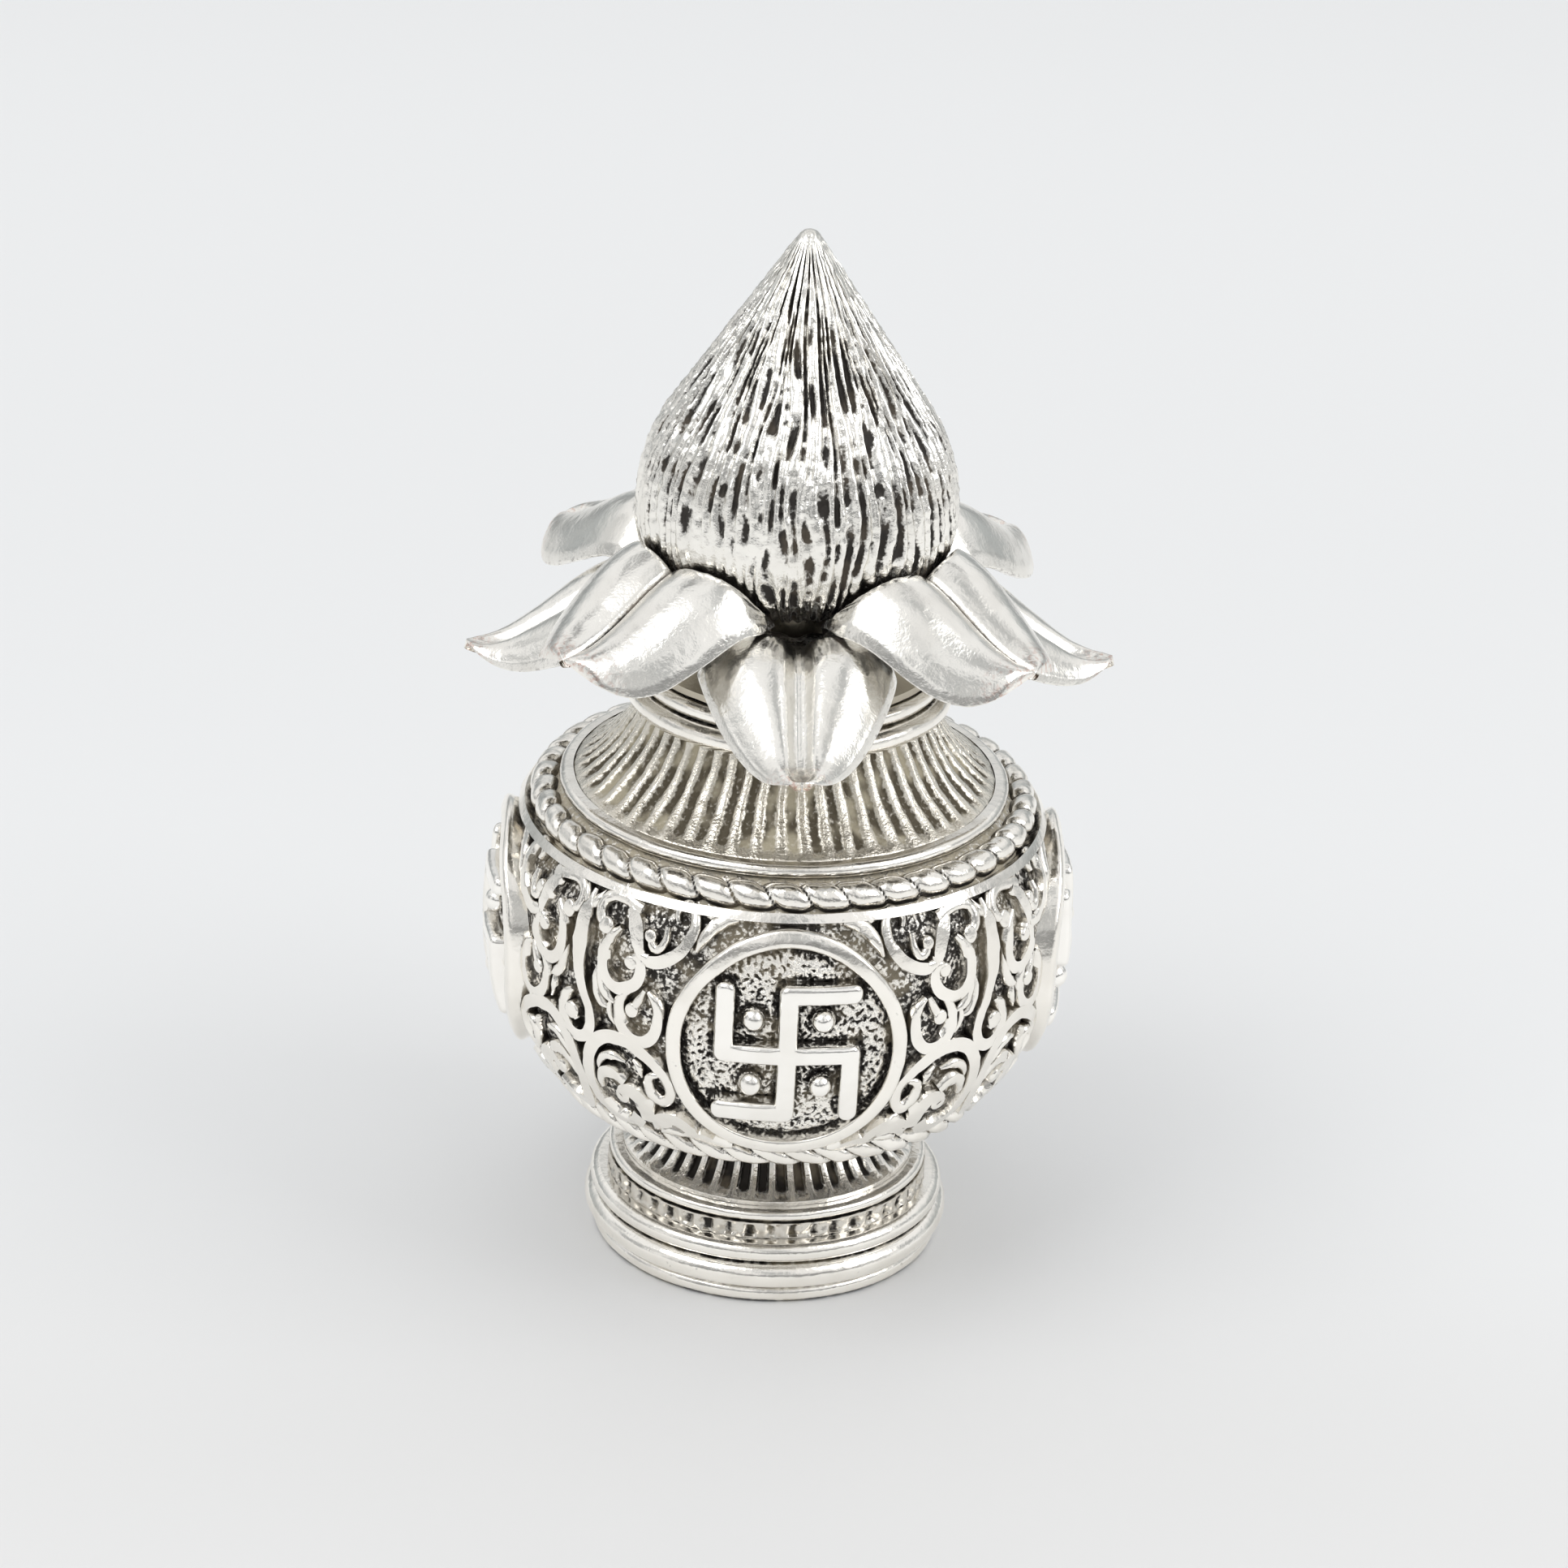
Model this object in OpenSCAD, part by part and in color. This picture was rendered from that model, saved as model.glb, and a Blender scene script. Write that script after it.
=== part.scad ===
// Kalash: a footed ritual water pot crowned with eight mango leaves and a coconut.
// Millimetres, +Z up, origin at the centre of the underside, one medallion facing -Y.
// The pot, the leaf crown and the coconut are three loose bodies that lift apart.

/* [Foot] */
// Radius of the widest roll of the foot
foot_r = 20.5; // [19:0.1:23]
// Height of the lip that the pot stands on
lip_h = 2.0; // [1.6:0.1:2.4]
// Height of the lower roll
lower_roll_h = 3.0; // [2.4:0.1:3.6]
// Height of the upper roll
upper_roll_h = 2.3; // [1.8:0.1:2.8]
// Height of the toothed gallery wire
dentil_h = 1.9; // [1.4:0.1:2.4]
// Number of teeth on the gallery wire
dentil_count = 46; // [32:1:60]
// Height of the plain collar wire
collar_h = 1.4; // [1:0.1:1.8]
// Radius of the plain collar wire
collar_r = 17.9; // [17:0.1:18.5]
// Height of the fluted stem
stem_h = 6.0; // [5.4:0.1:7]
// Radius at the bottom of the fluted stem
stem_base_r = 16.4; // [15:0.1:16.8]
// Radius of the waist where the stem meets the bowl
waist_r = 12.9; // [12:0.1:14]
// Number of slots round the stem
stem_flutes = 44; // [24:1:56]
// Radius of the hollow inside the foot
foot_bore_r = 9.5; // [7:0.1:10.5]
// Thickness of the plate that closes the foot
base_plate_t = 1.2; // [0.8:0.1:1.8]
// How far the closing plate lies above the lip
base_recess = 0.8; // [0.4:0.1:1.2]

/* [Bowl] */
// Radius of the belly at the crest of its relief
belly_r = 31.5; // [30:0.1:33]
// Height of the relief above the ground of the belly
relief = 1.3; // [0.8:0.1:1.6]
// Height of the bowl from its seat on the stem to its top edge
bowl_h = 38.0; // [37:0.1:38.6]
// Height of the belly's widest place, as a share of the bowl's height
belly_share = 0.59; // [0.57:0.005:0.6]
// Radius of the nearly straight side arc
side_arc_r = 60; // [50:1:80]
// Radius of the arc under the belly
low_arc_r = 22; // [21:0.1:23]
// Radius of the arc over the belly
top_arc_r = 12.4; // [12:0.1:13]
// Height that the flat seat on the stem takes off the belly's round underside
low_cut = 0.3; // [0.2:0.05:0.6]
// Height that the flat seat of the neck takes off the belly's round top
top_cut = 1.3; // [1:0.05:1.6]
// Thickness of the bowl's wall
bowl_wall = 1.6; // [1:0.1:2]
// Radius of the opening in the top of the bowl
bowl_mouth_r = 20.8; // [19:0.1:21.4]

/* [Medallions] */
// Outer radius of a medallion's ring, as a share of the bowl's height
medal_share = 0.34; // [0.305:0.005:0.345]
// Width of the wire of a medallion's ring
medal_wire = 1.6; // [1:0.1:2.2]
// Height of the ring above the ground of the belly
medal_rise = 2.2; // [1.8:0.1:2.6]
// Drop of the medallions' centres below the widest place of the belly
medal_drop = 1.4; // [1.2:0.1:1.8]
// Thickness of the stippled plate inside the ring
medal_plate_t = 0.7; // [0.5:0.1:1]
// Length of the symbol's arms, as a share of the medallion's radius
symbol_share = 0.526; // [0.46:0.002:0.53]
// Width of the symbol's bars
symbol_bar = 2.1; // [1.6:0.1:2.2]
// Height of the symbol above its plate
symbol_rise = 1.9; // [1.2:0.1:2.2]
// Radius of the four studs between the symbol's arms
stud_r = 1.15; // [0.8:0.05:1.3]

/* [Mouldings] */
// Width of the plain band that closes the scrolls at the top
border_w = 1.4; // [1:0.1:1.8]
// Number of strands along the upper rope
upper_strands = 42; // [30:1:48]
// Turn of the upper rope round the arc over the belly
upper_rope_turn = 47.5; // [46.5:0.5:48]
// Number of strands along the lower rope
lower_strands = 45; // [32:1:50]
// Turn of the lower rope round the arc under the belly
lower_rope_turn = 48.5; // [47:0.5:50]
// Radius of the upper rope
upper_rope_r = 1.45; // [1.2:0.05:1.5]
// Radius of the lower rope
lower_rope_r = 1.7; // [1.3:0.05:1.8]
// Slant of the strands from upright
lay_angle = 55; // [50:1:62]
// Width of the bead round the shoulder
shoulder_bead_w = 1.5; // [1.2:0.1:1.8]

/* [Neck] */
// Radius at the foot of the neck
neck_base_r = 23.2; // [22.6:0.1:23.6]
// Radius at the top of the neck
neck_top_r = 15.9; // [15.4:0.1:16.2]
// Height of the neck above the top edge of the bowl
neck_h = 10.4; // [9:0.1:11.5]
// Height of the neck's plain foot inside the shoulder bead
neck_edge_h = 1.4; // [1:0.1:1.8]
// Radius of the neck's concave flare
neck_flare_r = 19; // [15:0.5:30]
// Thickness of the neck's wall
neck_wall = 1.6; // [1.4:0.1:1.8]
// Radius of the pot's mouth
mouth_r = 13.4; // [12.6:0.1:13.8]
// Number of ribs round the neck
neck_ribs = 54; // [36:1:64]
// Depth of the flutes between the ribs
neck_flute = 0.6; // [0.3:0.1:0.8]
// Outer radius of the lower bead of the rim
rim_r = 17.9; // [17.2:0.1:18.6]
// Height of the lower bead of the rim
rim_low_h = 2.5; // [2:0.1:3]
// Outer radius of the upper bead of the rim
rim_top_r = 16.9; // [16.4:0.1:17.4]
// Height of the upper bead of the rim
rim_top_h = 2.0; // [1.6:0.1:2.4]

/* [Leaf crown] */
// Depth of the spigot that holds the crown in the mouth
spigot_h = 6; // [4:0.1:9]
// Thickness of the spigot's wall
spigot_wall = 1.2; // [0.8:0.1:1.8]
// Height of the domed collar under the leaves
dome_h = 4.6; // [4:0.1:5]
// Thickness of the domed collar
dome_t = 1.4; // [1:0.1:1.8]
// Radius of the hub that the leaves are fixed to
hub_r = 8; // [7.5:0.1:8.5]
// Height of the hub
hub_h = 3.2; // [3.1:0.1:3.6]
// Angle from the front or back of the pot to each upper leaf
upper_turn = 50; // [44:1:50]
// Reach of the lower leaves from the axis
lower_reach = 35.2; // [31:0.1:37]
// Reach of the upper leaves from the axis
upper_reach = 32.4; // [30:0.1:35]
// Half the width of a lower leaf
lower_half_w = 10.6; // [9.5:0.1:10.8]
// Half the width of an upper leaf
upper_half_w = 11.2; // [9.5:0.1:11.3]
// Rise of a lower leaf's back over its root
lower_rise = 1.7; // [1:0.1:2]
// Rise of an upper leaf's back over its root
upper_rise = 6; // [5.4:0.1:6.4]
// Fall of a lower leaf from its back to its tip
lower_fall = 7.3; // [5:0.1:8]
// Fall of an upper leaf from its back to its tip
upper_fall = 6.2; // [4:0.1:6.6]
// Upturn of the lower leaves' tips; the upper ones turn up a third of it
tip_curl = 1.1; // [0:0.1:1.5]
// Thickness of the sheet that a leaf is stamped from
leaf_t = 1.0; // [0.8:0.1:1.1]
// Swell of a leaf's two lobes
leaf_puff = 2.1; // [1.4:0.1:2.3]
// Turn-down of a lower leaf's edges
lower_turn_down = 2.7; // [1.8:0.1:3]
// Turn-down of an upper leaf's edges
upper_turn_down = 3.3; // [2.4:0.1:3.6]

/* [Coconut] */
// Radius of the coconut at its widest
coco_r = 17.5; // [16.6:0.1:18]
// Radius of the round under the coconut
coco_low_r = 10; // [9.4:0.1:10.4]
// Radius of the arc over the coconut's widest place
coco_arc_r = 20; // [18:0.5:24]
// Slope of the coconut's tapering top, measured from upright
coco_taper = 33.8; // [32:0.1:36]
// Radius of the rounded tip
coco_tip_r = 1.5; // [1:0.1:2]
// Thickness of the coconut's shell
coco_wall = 1.8; // [1.4:0.1:2.4]
// Number of fibre grooves in a tier
coco_fibres = 40; // [24:1:48]
// Depth of the fibre grooves
coco_groove = 0.6; // [0.3:0.1:0.8]
// Radius of the peg under the coconut
peg_r = 4.5; // [3.5:0.1:5.5]
// Length of the peg under the coconut
peg_h = 6.5; // [4:0.1:8]

/* [Fits] */
// Gap at a soldered seat, so that faces meet without overlapping
seat = 0.02; // [0.01:0.01:0.05]
// Gap between two bodies that lift apart
lift_gap = 0.2; // [0.15:0.01:0.3]

/* [Hidden] */
$fn = 96;
silver = "#d8d8d4";
bright = "#e6e6e2";
shade = "#8d8a82";
far = 100;

// Heights, stacked from the ground up
lower_roll_z = lip_h;
upper_roll_z = lower_roll_z + lower_roll_h;
dentil_z = upper_roll_z + upper_roll_h;
collar_z = dentil_z + dentil_h;
stem_z = collar_z + collar_h;
bowl_z = stem_z + stem_h;
bowl_top_z = bowl_z + bowl_h;
neck_z = bowl_top_z;
rim_z = neck_z + neck_h;
rim_top_z = rim_z + rim_low_h;
crown_z = rim_top_z + rim_top_h + lift_gap;
hub_z = crown_z + dome_h;
coco_z = hub_z + hub_h + lift_gap;

// Radii that follow from their neighbours
dentil_r = collar_r;
upper_roll_r = foot_r - 0.6;
spigot_r = mouth_r - lift_gap;
hub_bore_r = peg_r + lift_gap;
leaf_root_w = 2;

// Angles of the plain band's two edges, below the upper rope
border_high = upper_rope_turn - turn_of(upper_rope_r + 0.15, top_arc_r - relief);
border_low = border_high - turn_of(border_w, top_arc_r);

// Centres of the belly's three arcs, which share their tangents
belly_z = bowl_z + belly_share * bowl_h;
medal_r = medal_share * bowl_h;
symbol_arm = symbol_share * medal_r;
low_turn = asin((belly_z - bowl_z + low_cut + relief - low_arc_r) / (side_arc_r - low_arc_r));
top_turn = asin((bowl_top_z - belly_z + top_cut + relief - top_arc_r) / (side_arc_r - top_arc_r));
side_c = [belly_r - side_arc_r, belly_z];
low_c = side_c + (side_arc_r - low_arc_r) * [cos(low_turn), -sin(low_turn)];
top_c = side_c + (side_arc_r - top_arc_r) * [cos(top_turn), sin(top_turn)];

// Centre of an arc of radius r through p and q, on the right of the way from p to q
function arc_centre(p, q, r) =
    let (m = (p + q) / 2, d = q - p, l = norm(d), h = sqrt(r * r - l * l / 4))
    m + h / l * [d[1], -d[0]];
// Angle that a length takes up on a circle
function turn_of(l, r) = l / r * 180 / PI;

// ---------------------------------------------------------------- flat profiles

// A wedge of the plane from c, between two angles
module wedge(c, a0, a1) {
    translate(c)
        polygon([[0, 0], far * [cos(a0), sin(a0)],
                 far * 1.2 * [cos((a0 + a1) / 2), sin((a0 + a1) / 2)], far * [cos(a1), sin(a1)]]);
}

// Points of an arc from a0 to a1 in equal steps, each no longer than step degrees
function arc_points(c, r, a0, a1, step) =
    let (n = ceil(abs(a1 - a0) / step))
    [for (i = [0:n]) let (a = a0 + (a1 - a0) * i / n) c + r * [cos(a), sin(a)]];

// Half the belly's section, moved outwards by grow from the crest of the relief
module belly_half(grow) {
    polygon(concat(
        [[-1, low_c[1] - low_arc_r - grow]],
        arc_points(low_c, low_arc_r + grow, -90, -low_turn, 8),
        arc_points(side_c, side_arc_r + grow, 2 - low_turn, top_turn - 2, 4),
        arc_points(top_c, top_arc_r + grow, top_turn, 90, 9),
        [[-1, top_c[1] + top_arc_r + grow]]));
}

// The belly's section between two heights, without what lies left of the axis
module belly_slice(grow, z0, z1) {
    intersection() {
        belly_half(grow);
        translate([0, z0]) square([far, z1 - z0]);
    }
}

// A turned ring with a half-round outer edge
module roll(inner, outer, z, h) {
    rotate_extrude() translate([0, z]) {
        translate([inner, 0]) square([outer - h / 2 - inner, h]);
        translate([outer - h / 2, h / 2]) circle(h / 2);
    }
}

// A skin on the belly from one growth to another, between two heights
module belly_skin(from, to, z0, z1) {
    rotate_extrude() difference() {
        belly_slice(to, z0, z1);
        belly_half(from);
    }
}

// ---------------------------------------------------------------- foot

// Turned plate that closes the hollow foot from below
module base_plate() {
    color(shade) translate([0, 0, base_recess])
        cylinder(r = foot_bore_r - seat, h = base_plate_t);
}

// Lip and lower roll, spun in one
module foot_base() {
    color(silver) rotate_extrude() {
        translate([foot_bore_r, 0]) square([foot_r - lip_h - foot_bore_r, lip_h]);
        translate([foot_r - lip_h, lip_h / 2]) circle(lip_h / 2);
        translate([foot_bore_r, lip_h / 2])
            square([foot_r - lower_roll_h / 2 - foot_bore_r, lower_roll_h + lip_h / 2]);
        translate([foot_r - lower_roll_h / 2, lip_h + lower_roll_h / 2]) circle(lower_roll_h / 2);
    }
}

module foot_upper_roll() {
    color(silver) roll(foot_bore_r, upper_roll_r, upper_roll_z + seat, upper_roll_h - seat);
}

// Gallery wire: a ring with a tooth between each two slots
module dentil_ring() {
    tooth_deep = 0.8;
    margin = 0.35;
    pitch = 360 / dentil_count;
    color(silver) difference() {
        rotate_extrude() translate([foot_bore_r, dentil_z + seat])
            square([dentil_r - foot_bore_r, dentil_h - seat]);
        for (i = [0:dentil_count - 1]) rotate([0, 0, i * pitch])
            rotate_extrude(angle = pitch * 0.45)
                translate([dentil_r - tooth_deep, dentil_z + margin])
                    square([tooth_deep + 1, dentil_h - 2 * margin]);
    }
}

module collar_ring() {
    color(silver) roll(foot_bore_r, collar_r, collar_z + seat, collar_h - seat);
}

// Concave stem with upright slots that fan out towards the collar
module fluted_stem() {
    arc = 8;
    slot_deep = 1.1;
    foot_edge = 0.5;
    low = [stem_base_r, stem_z + foot_edge];
    high = [waist_r, bowl_z];
    c = arc_centre(low, high, arc);
    pitch = 360 / stem_flutes;
    color(silver) difference() {
        rotate_extrude() difference() {
            translate([foot_bore_r, stem_z + seat]) square([stem_base_r - foot_bore_r, stem_h - seat]);
            translate(c) circle(arc);
        }
        for (i = [0:stem_flutes - 1]) rotate([0, 0, i * pitch])
            rotate_extrude(angle = pitch * 0.5) intersection() {
                translate([waist_r - 2, low[1] + 0.3])
                    square([stem_base_r - waist_r + 3, stem_h - foot_edge - 0.9]);
                translate(c) circle(arc + slot_deep);
            }
    }
}

// ---------------------------------------------------------------- bowl

// Raised vessel, closed below and open at the shoulder
module bowl() {
    color(silver) difference() {
        rotate_extrude() belly_slice(-relief, bowl_z + seat, bowl_top_z);
        rotate_extrude() belly_slice(-relief - bowl_wall, bowl_z + bowl_wall, bowl_top_z);
        translate([0, 0, belly_z]) cylinder(r = bowl_mouth_r, h = bowl_h);
    }
}

// A rope laid round the belly: a round wire, sunk into the ground, with a slanted cut between
// each two strands
module rope(c, r, turn, strands, wire_r) {
    ground = r - relief;
    cut = wire_r * 0.42;
    mid = c + (ground + wire_r * 0.15) * [cos(turn), sin(turn)];
    difference() {
        rotate_extrude() difference() {
            translate(mid) circle(wire_r);
            translate(c) circle(ground + seat);
        }
        for (i = [0:strands - 1]) rotate([0, 0, i * 360 / strands])
            translate([mid[0], 0, mid[1]]) rotate([0, -turn, 0])
                translate([wire_r * 1.1, 0, 0]) rotate([-lay_angle, 0, 0])
                    linear_extrude(wire_r * 5, center = true) rotate(45) square(cut * 2, center = true);
    }
}

module lower_rope() {
    color(silver) rope(low_c, low_arc_r, -lower_rope_turn, lower_strands, lower_rope_r);
}

module upper_rope() {
    color(silver) rope(top_c, top_arc_r, upper_rope_turn, upper_strands, upper_rope_r);
}

// Plain band between the scrolls and the upper rope
module border_band() {
    color(silver) rotate_extrude() intersection() {
        difference() {
            translate(top_c) circle(top_arc_r);
            translate(top_c) circle(top_arc_r - relief + seat);
        }
        wedge(top_c, border_low, border_high);
    }
}

// ---------------------------------------------------------------- scroll panels

// Part of a flat ring: centre, middle radius, start angle, end angle, width
module stroke(c, r, a0, a1, w) {
    steps = max(1, ceil((a1 - a0) / 120));
    part = (a1 - a0) / steps;
    translate(c) for (i = [0:steps - 1]) intersection() {
        difference() {
            circle(r + w / 2);
            circle(r - w / 2);
        }
        wedge([0, 0], a0 + i * part, a0 + (i + 1) * part);
    }
}

module ball(c, r) {
    translate(c) circle(r);
}

// Scrolls of half a panel, drawn flat, x from the panel's middle and y from the belly's widest place
module half_scrolls() {
    thick = 1.15;
    thin = 0.85;
    // C-scroll beside the top of the medallion, and the long stroke that hugs its ring
    stroke([9.3, 10.0], 2.0, 170, 380, thin);
    ball([10.6, 9.3], 0.8);
    stroke([8.6, 12.6], 6.2, 215, 318, thin);
    // Upper C-scroll
    stroke([5.4, 5.2], 2.5, 60, 375, thick);
    ball([6.6, 5.9], 1.0);
    // Small hook under the top band
    stroke([2.6, 10.2], 1.5, 30, 330, thin);
    ball([3.0, 9.6], 0.75);
    // Middle C-scroll, open at the top
    stroke([7.5, 0.4], 2.2, 130, 410, thick);
    ball([7.3, 1.0], 0.9);
    // Large lower scroll with its eye
    stroke([4.9, -9.0], 5.3, 10, 235, thick);
    stroke([10.2, -8.0], 1.9, 0, 360, thick);
    stroke([3.9, -10.3], 2.6, 80, 345, thick);
    ball([5.8, -10.3], 1.2);
    stroke([4.4, -9.8], 4.0, 55, 140, thin);
    // Leaf lobes under the medallion
    ball([9.0, -12.7], 1.4);
    ball([11.4, -13.4], 1.2);
    stroke([8.5, -16.8], 4.4, 35, 120, thin);
}

// Stem and drop in the middle of a panel
module middle_scrolls() {
    stroke([0.3, -1.6], 2.7, 150, 380, 1.2);
    ball([1.3, -1.2], 1.1);
    translate([-1.9, 1.0]) square([1.1, 4.6], center = true);
    stroke([-4.6, 3.2], 3.4, -10, 62, 1.1);
    ball([0, 9.6], 1.1);
    translate([-0.3, 7.2]) square([1.2, 4.8], center = true);
}

// Pierced panel of scrolls, curved to the belly and laid on its ground
module scroll_panel(side) {
    low_ground = low_arc_r - relief;
    rope_edge = lower_rope_turn - turn_of(lower_rope_r + 0.15, low_ground);
    low_limit = low_c[1] - low_ground * sin(rope_edge);
    high_limit = top_c[1] + (top_arc_r - relief) * sin(border_low) - 0.1;
    rotate([0, 0, side]) color(silver) difference() {
        intersection() {
            translate([0, 0, belly_z]) rotate([90, 0, 90]) linear_extrude(belly_r + 3) {
                half_scrolls();
                mirror([1, 0]) half_scrolls();
                middle_scrolls();
            }
            belly_skin(-relief + seat, 0, low_limit, high_limit);
        }
        for (turn = [-45, 45]) rotate([0, 0, turn])
            translate([0, 0, belly_z - medal_drop]) rotate([0, 90, 0])
                cylinder(r = medal_r + 0.15, h = belly_r + 5);
    }
}

// ---------------------------------------------------------------- medallions

// Turns a flat shape, drawn as seen from outside, into a piece of the belly's skin
module on_medallion(side, from, to) {
    rotate([0, 0, side]) intersection() {
        translate([0, 0, belly_z - medal_drop]) rotate([90, 0, 90])
            linear_extrude(belly_r + 6) children();
        belly_skin(from - relief, to - relief, bowl_z + 1, bowl_top_z + 1);
    }
}

module medallion_ring(side) {
    color(silver) on_medallion(side, seat, medal_rise) difference() {
        circle(medal_r);
        circle(medal_r - medal_wire);
    }
}

module medallion_plate(side) {
    color(shade) on_medallion(side, seat, medal_plate_t)
        circle(medal_r - medal_wire - seat);
}

// One arm of the symbol, with its bar bent to the right
module symbol_arm_shape() {
    half = symbol_bar / 2;
    translate([-half, 0]) square([symbol_bar, symbol_arm + half]);
    translate([-half, symbol_arm - half]) square([symbol_arm + symbol_bar, symbol_bar]);
}

// Raised auspicious symbol with its four studs
module medallion_symbol(side) {
    stud_at = symbol_arm / 2 + symbol_bar / 4;
    base = medal_plate_t + seat;
    color(bright) {
        on_medallion(side, base, base + symbol_rise)
            for (turn = [0:90:270]) rotate(turn) symbol_arm_shape();
        on_medallion(side, base, base + symbol_rise * 0.7)
            for (x = [-stud_at, stud_at], y = [-stud_at, stud_at])
                translate([x, y]) circle(stud_r);
    }
}

// ---------------------------------------------------------------- neck

// Bead that covers the joint of bowl and neck
module shoulder_bead() {
    inner = neck_base_r + seat;
    color(silver) rotate_extrude() translate([0, neck_z + seat]) {
        translate([inner, 0]) square([shoulder_bead_w, shoulder_bead_w / 2]);
        translate([inner + shoulder_bead_w / 2, shoulder_bead_w / 2]) circle(shoulder_bead_w / 2);
    }
}

// Concave neck with ribs that run up to the rim
module fluted_neck() {
    low = [neck_base_r, neck_z + neck_edge_h];
    high = [neck_top_r, rim_z];
    c = arc_centre(low, high, neck_flare_r);
    inner_r = neck_base_r - neck_wall;
    pitch = 360 / neck_ribs;
    color(silver) difference() {
        rotate_extrude() difference() {
            translate([mouth_r, neck_z + seat]) square([neck_base_r - mouth_r, neck_h - seat]);
            translate(c) circle(neck_flare_r);
            difference() {
                translate([0, neck_z]) square([inner_r, neck_h - neck_wall]);
                translate(c) circle(neck_flare_r + neck_wall);
            }
        }
        for (i = [0:neck_ribs - 1]) rotate([0, 0, i * pitch])
            rotate_extrude(angle = pitch * 0.5) difference() {
                intersection() {
                    translate(c) circle(neck_flare_r + neck_flute);
                    translate([neck_top_r - neck_flute - 0.2, low[1] + 0.3])
                        square([neck_base_r - neck_top_r + neck_flute + 0.4, neck_h - neck_edge_h - 0.9]);
                }
                translate(c) circle(neck_flare_r - 1);
            }
    }
}

module rim_lower_bead() {
    color(silver) roll(mouth_r, rim_r, rim_z + seat, rim_low_h - seat);
}

module rim_upper_bead() {
    color(silver) roll(mouth_r, rim_top_r, rim_top_z + seat, rim_top_h - seat);
}

// ---------------------------------------------------------------- leaf crown

// Spigot, flange and dome, spun in one: the spigot drops into the mouth
module crown_collar() {
    flange_r = rim_top_r - 0.9;
    dome_top_r = hub_r + 0.6;
    color(silver) rotate_extrude() difference() {
        union() {
            translate([spigot_r - spigot_wall, crown_z - spigot_h])
                square([spigot_wall, spigot_h + dome_t / 2]);
            polygon([[hub_bore_r, crown_z], [flange_r, crown_z], [flange_r, crown_z + dome_t * 0.6],
                     [dome_top_r, hub_z], [hub_bore_r, hub_z]]);
        }
        polygon([[0, crown_z - 1], [spigot_r - spigot_wall, crown_z - 1],
                 [spigot_r - spigot_wall, crown_z], [dome_top_r - 1, hub_z - dome_t],
                 [0, hub_z - dome_t]]);
    }
}

// Round boss: the roots of all eight leaves are soldered round it
module crown_hub() {
    color(shade) difference() {
        translate([0, 0, hub_z + seat]) cylinder(r = hub_r, h = hub_h - seat);
        translate([0, 0, hub_z - 1]) cylinder(r = hub_bore_r, h = hub_h + 2);
    }
}

// Side of an upper leaf: those by the front and the back face spread wider than those by the sides
function upper_side(i) = i % 2 == 0 ? 90 * i - 90 + upper_turn : 90 * i - upper_turn;

// Share of a leaf's length at which its back is highest and its blade widest
leaf_shoulder = 0.32;
// Half width of a leaf along its length: a round shoulder, then a pointed tip on the lower leaves and
// a blunt one on the upper leaves
function leaf_shape(s, lower) = s < leaf_shoulder
    ? sqrt(1 - pow(1 - s / leaf_shoulder, 1.7))
    : let (u = (s - leaf_shoulder) / (1 - leaf_shoulder)) lower ? 1 - u * u : sqrt(1 - pow(u, 3));
function leaf_w(s, lower) = leaf_root_w * (1 - s) + leaf_t / 2
    + ((lower ? lower_half_w : upper_half_w) - leaf_root_w) * leaf_shape(s, lower);
// Height of the midrib over the root: up to the shoulder, down, then up again at the tip
function leaf_spine(s, lower) =
    let (up = min(1, s / leaf_shoulder), down = max(0, min(1, (s - leaf_shoulder) / 0.62)),
         curl = max(0, (s - 0.8) / 0.2))
    (lower ? lower_rise : upper_rise) * sin(90 * up)
    - (lower ? lower_fall : upper_fall) * down * down * (3 - 2 * down)
    + tip_curl * (lower ? 1 : 1 / 3) * curl * curl;
// Swell of the upper face: two lobes with the midrib's groove between them
function leaf_lobe(t) = pow(sin(180 * pow(min(abs(t), 1), 0.85)), 0.75);
function leaf_fullness(s) = pow(sin(90 * min(1, s / 0.3)) * (1 - pow(s, 5)), 0.6);
// Height at which a leaf clears the coconut's round underside
function under_coconut(r) =
    let (ball_r = coco_low_r + 2.5 * lift_gap, out = max(0, r - coco_r + coco_low_r))
    out < ball_r ? coco_z + coco_low_r - sqrt(ball_r * ball_r - out * out) : far * 2;

// Height at which a lower leaf clears the roots of the two that cross over it
function under_upper_leaves(r) =
    hub_z + hub_h - leaf_t - lift_gap + max(0, r - 1.7 * hub_r);

// Point on a leaf's upper face, which is pressed in where the next thing up sits on it
function leaf_point(out, spine, lower, s, t) =
    let (w = leaf_w(s, lower), r = norm([out, w * t]),
         turn_down = (lower ? lower_turn_down : upper_turn_down) * min(4 * s, w / lower_half_w),
         z = spine + leaf_puff * leaf_fullness(s) * leaf_lobe(t) - turn_down * pow(abs(t), 4))
    [out, w * t, min(z, lower ? under_upper_leaves(r) : under_coconut(r))];

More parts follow.
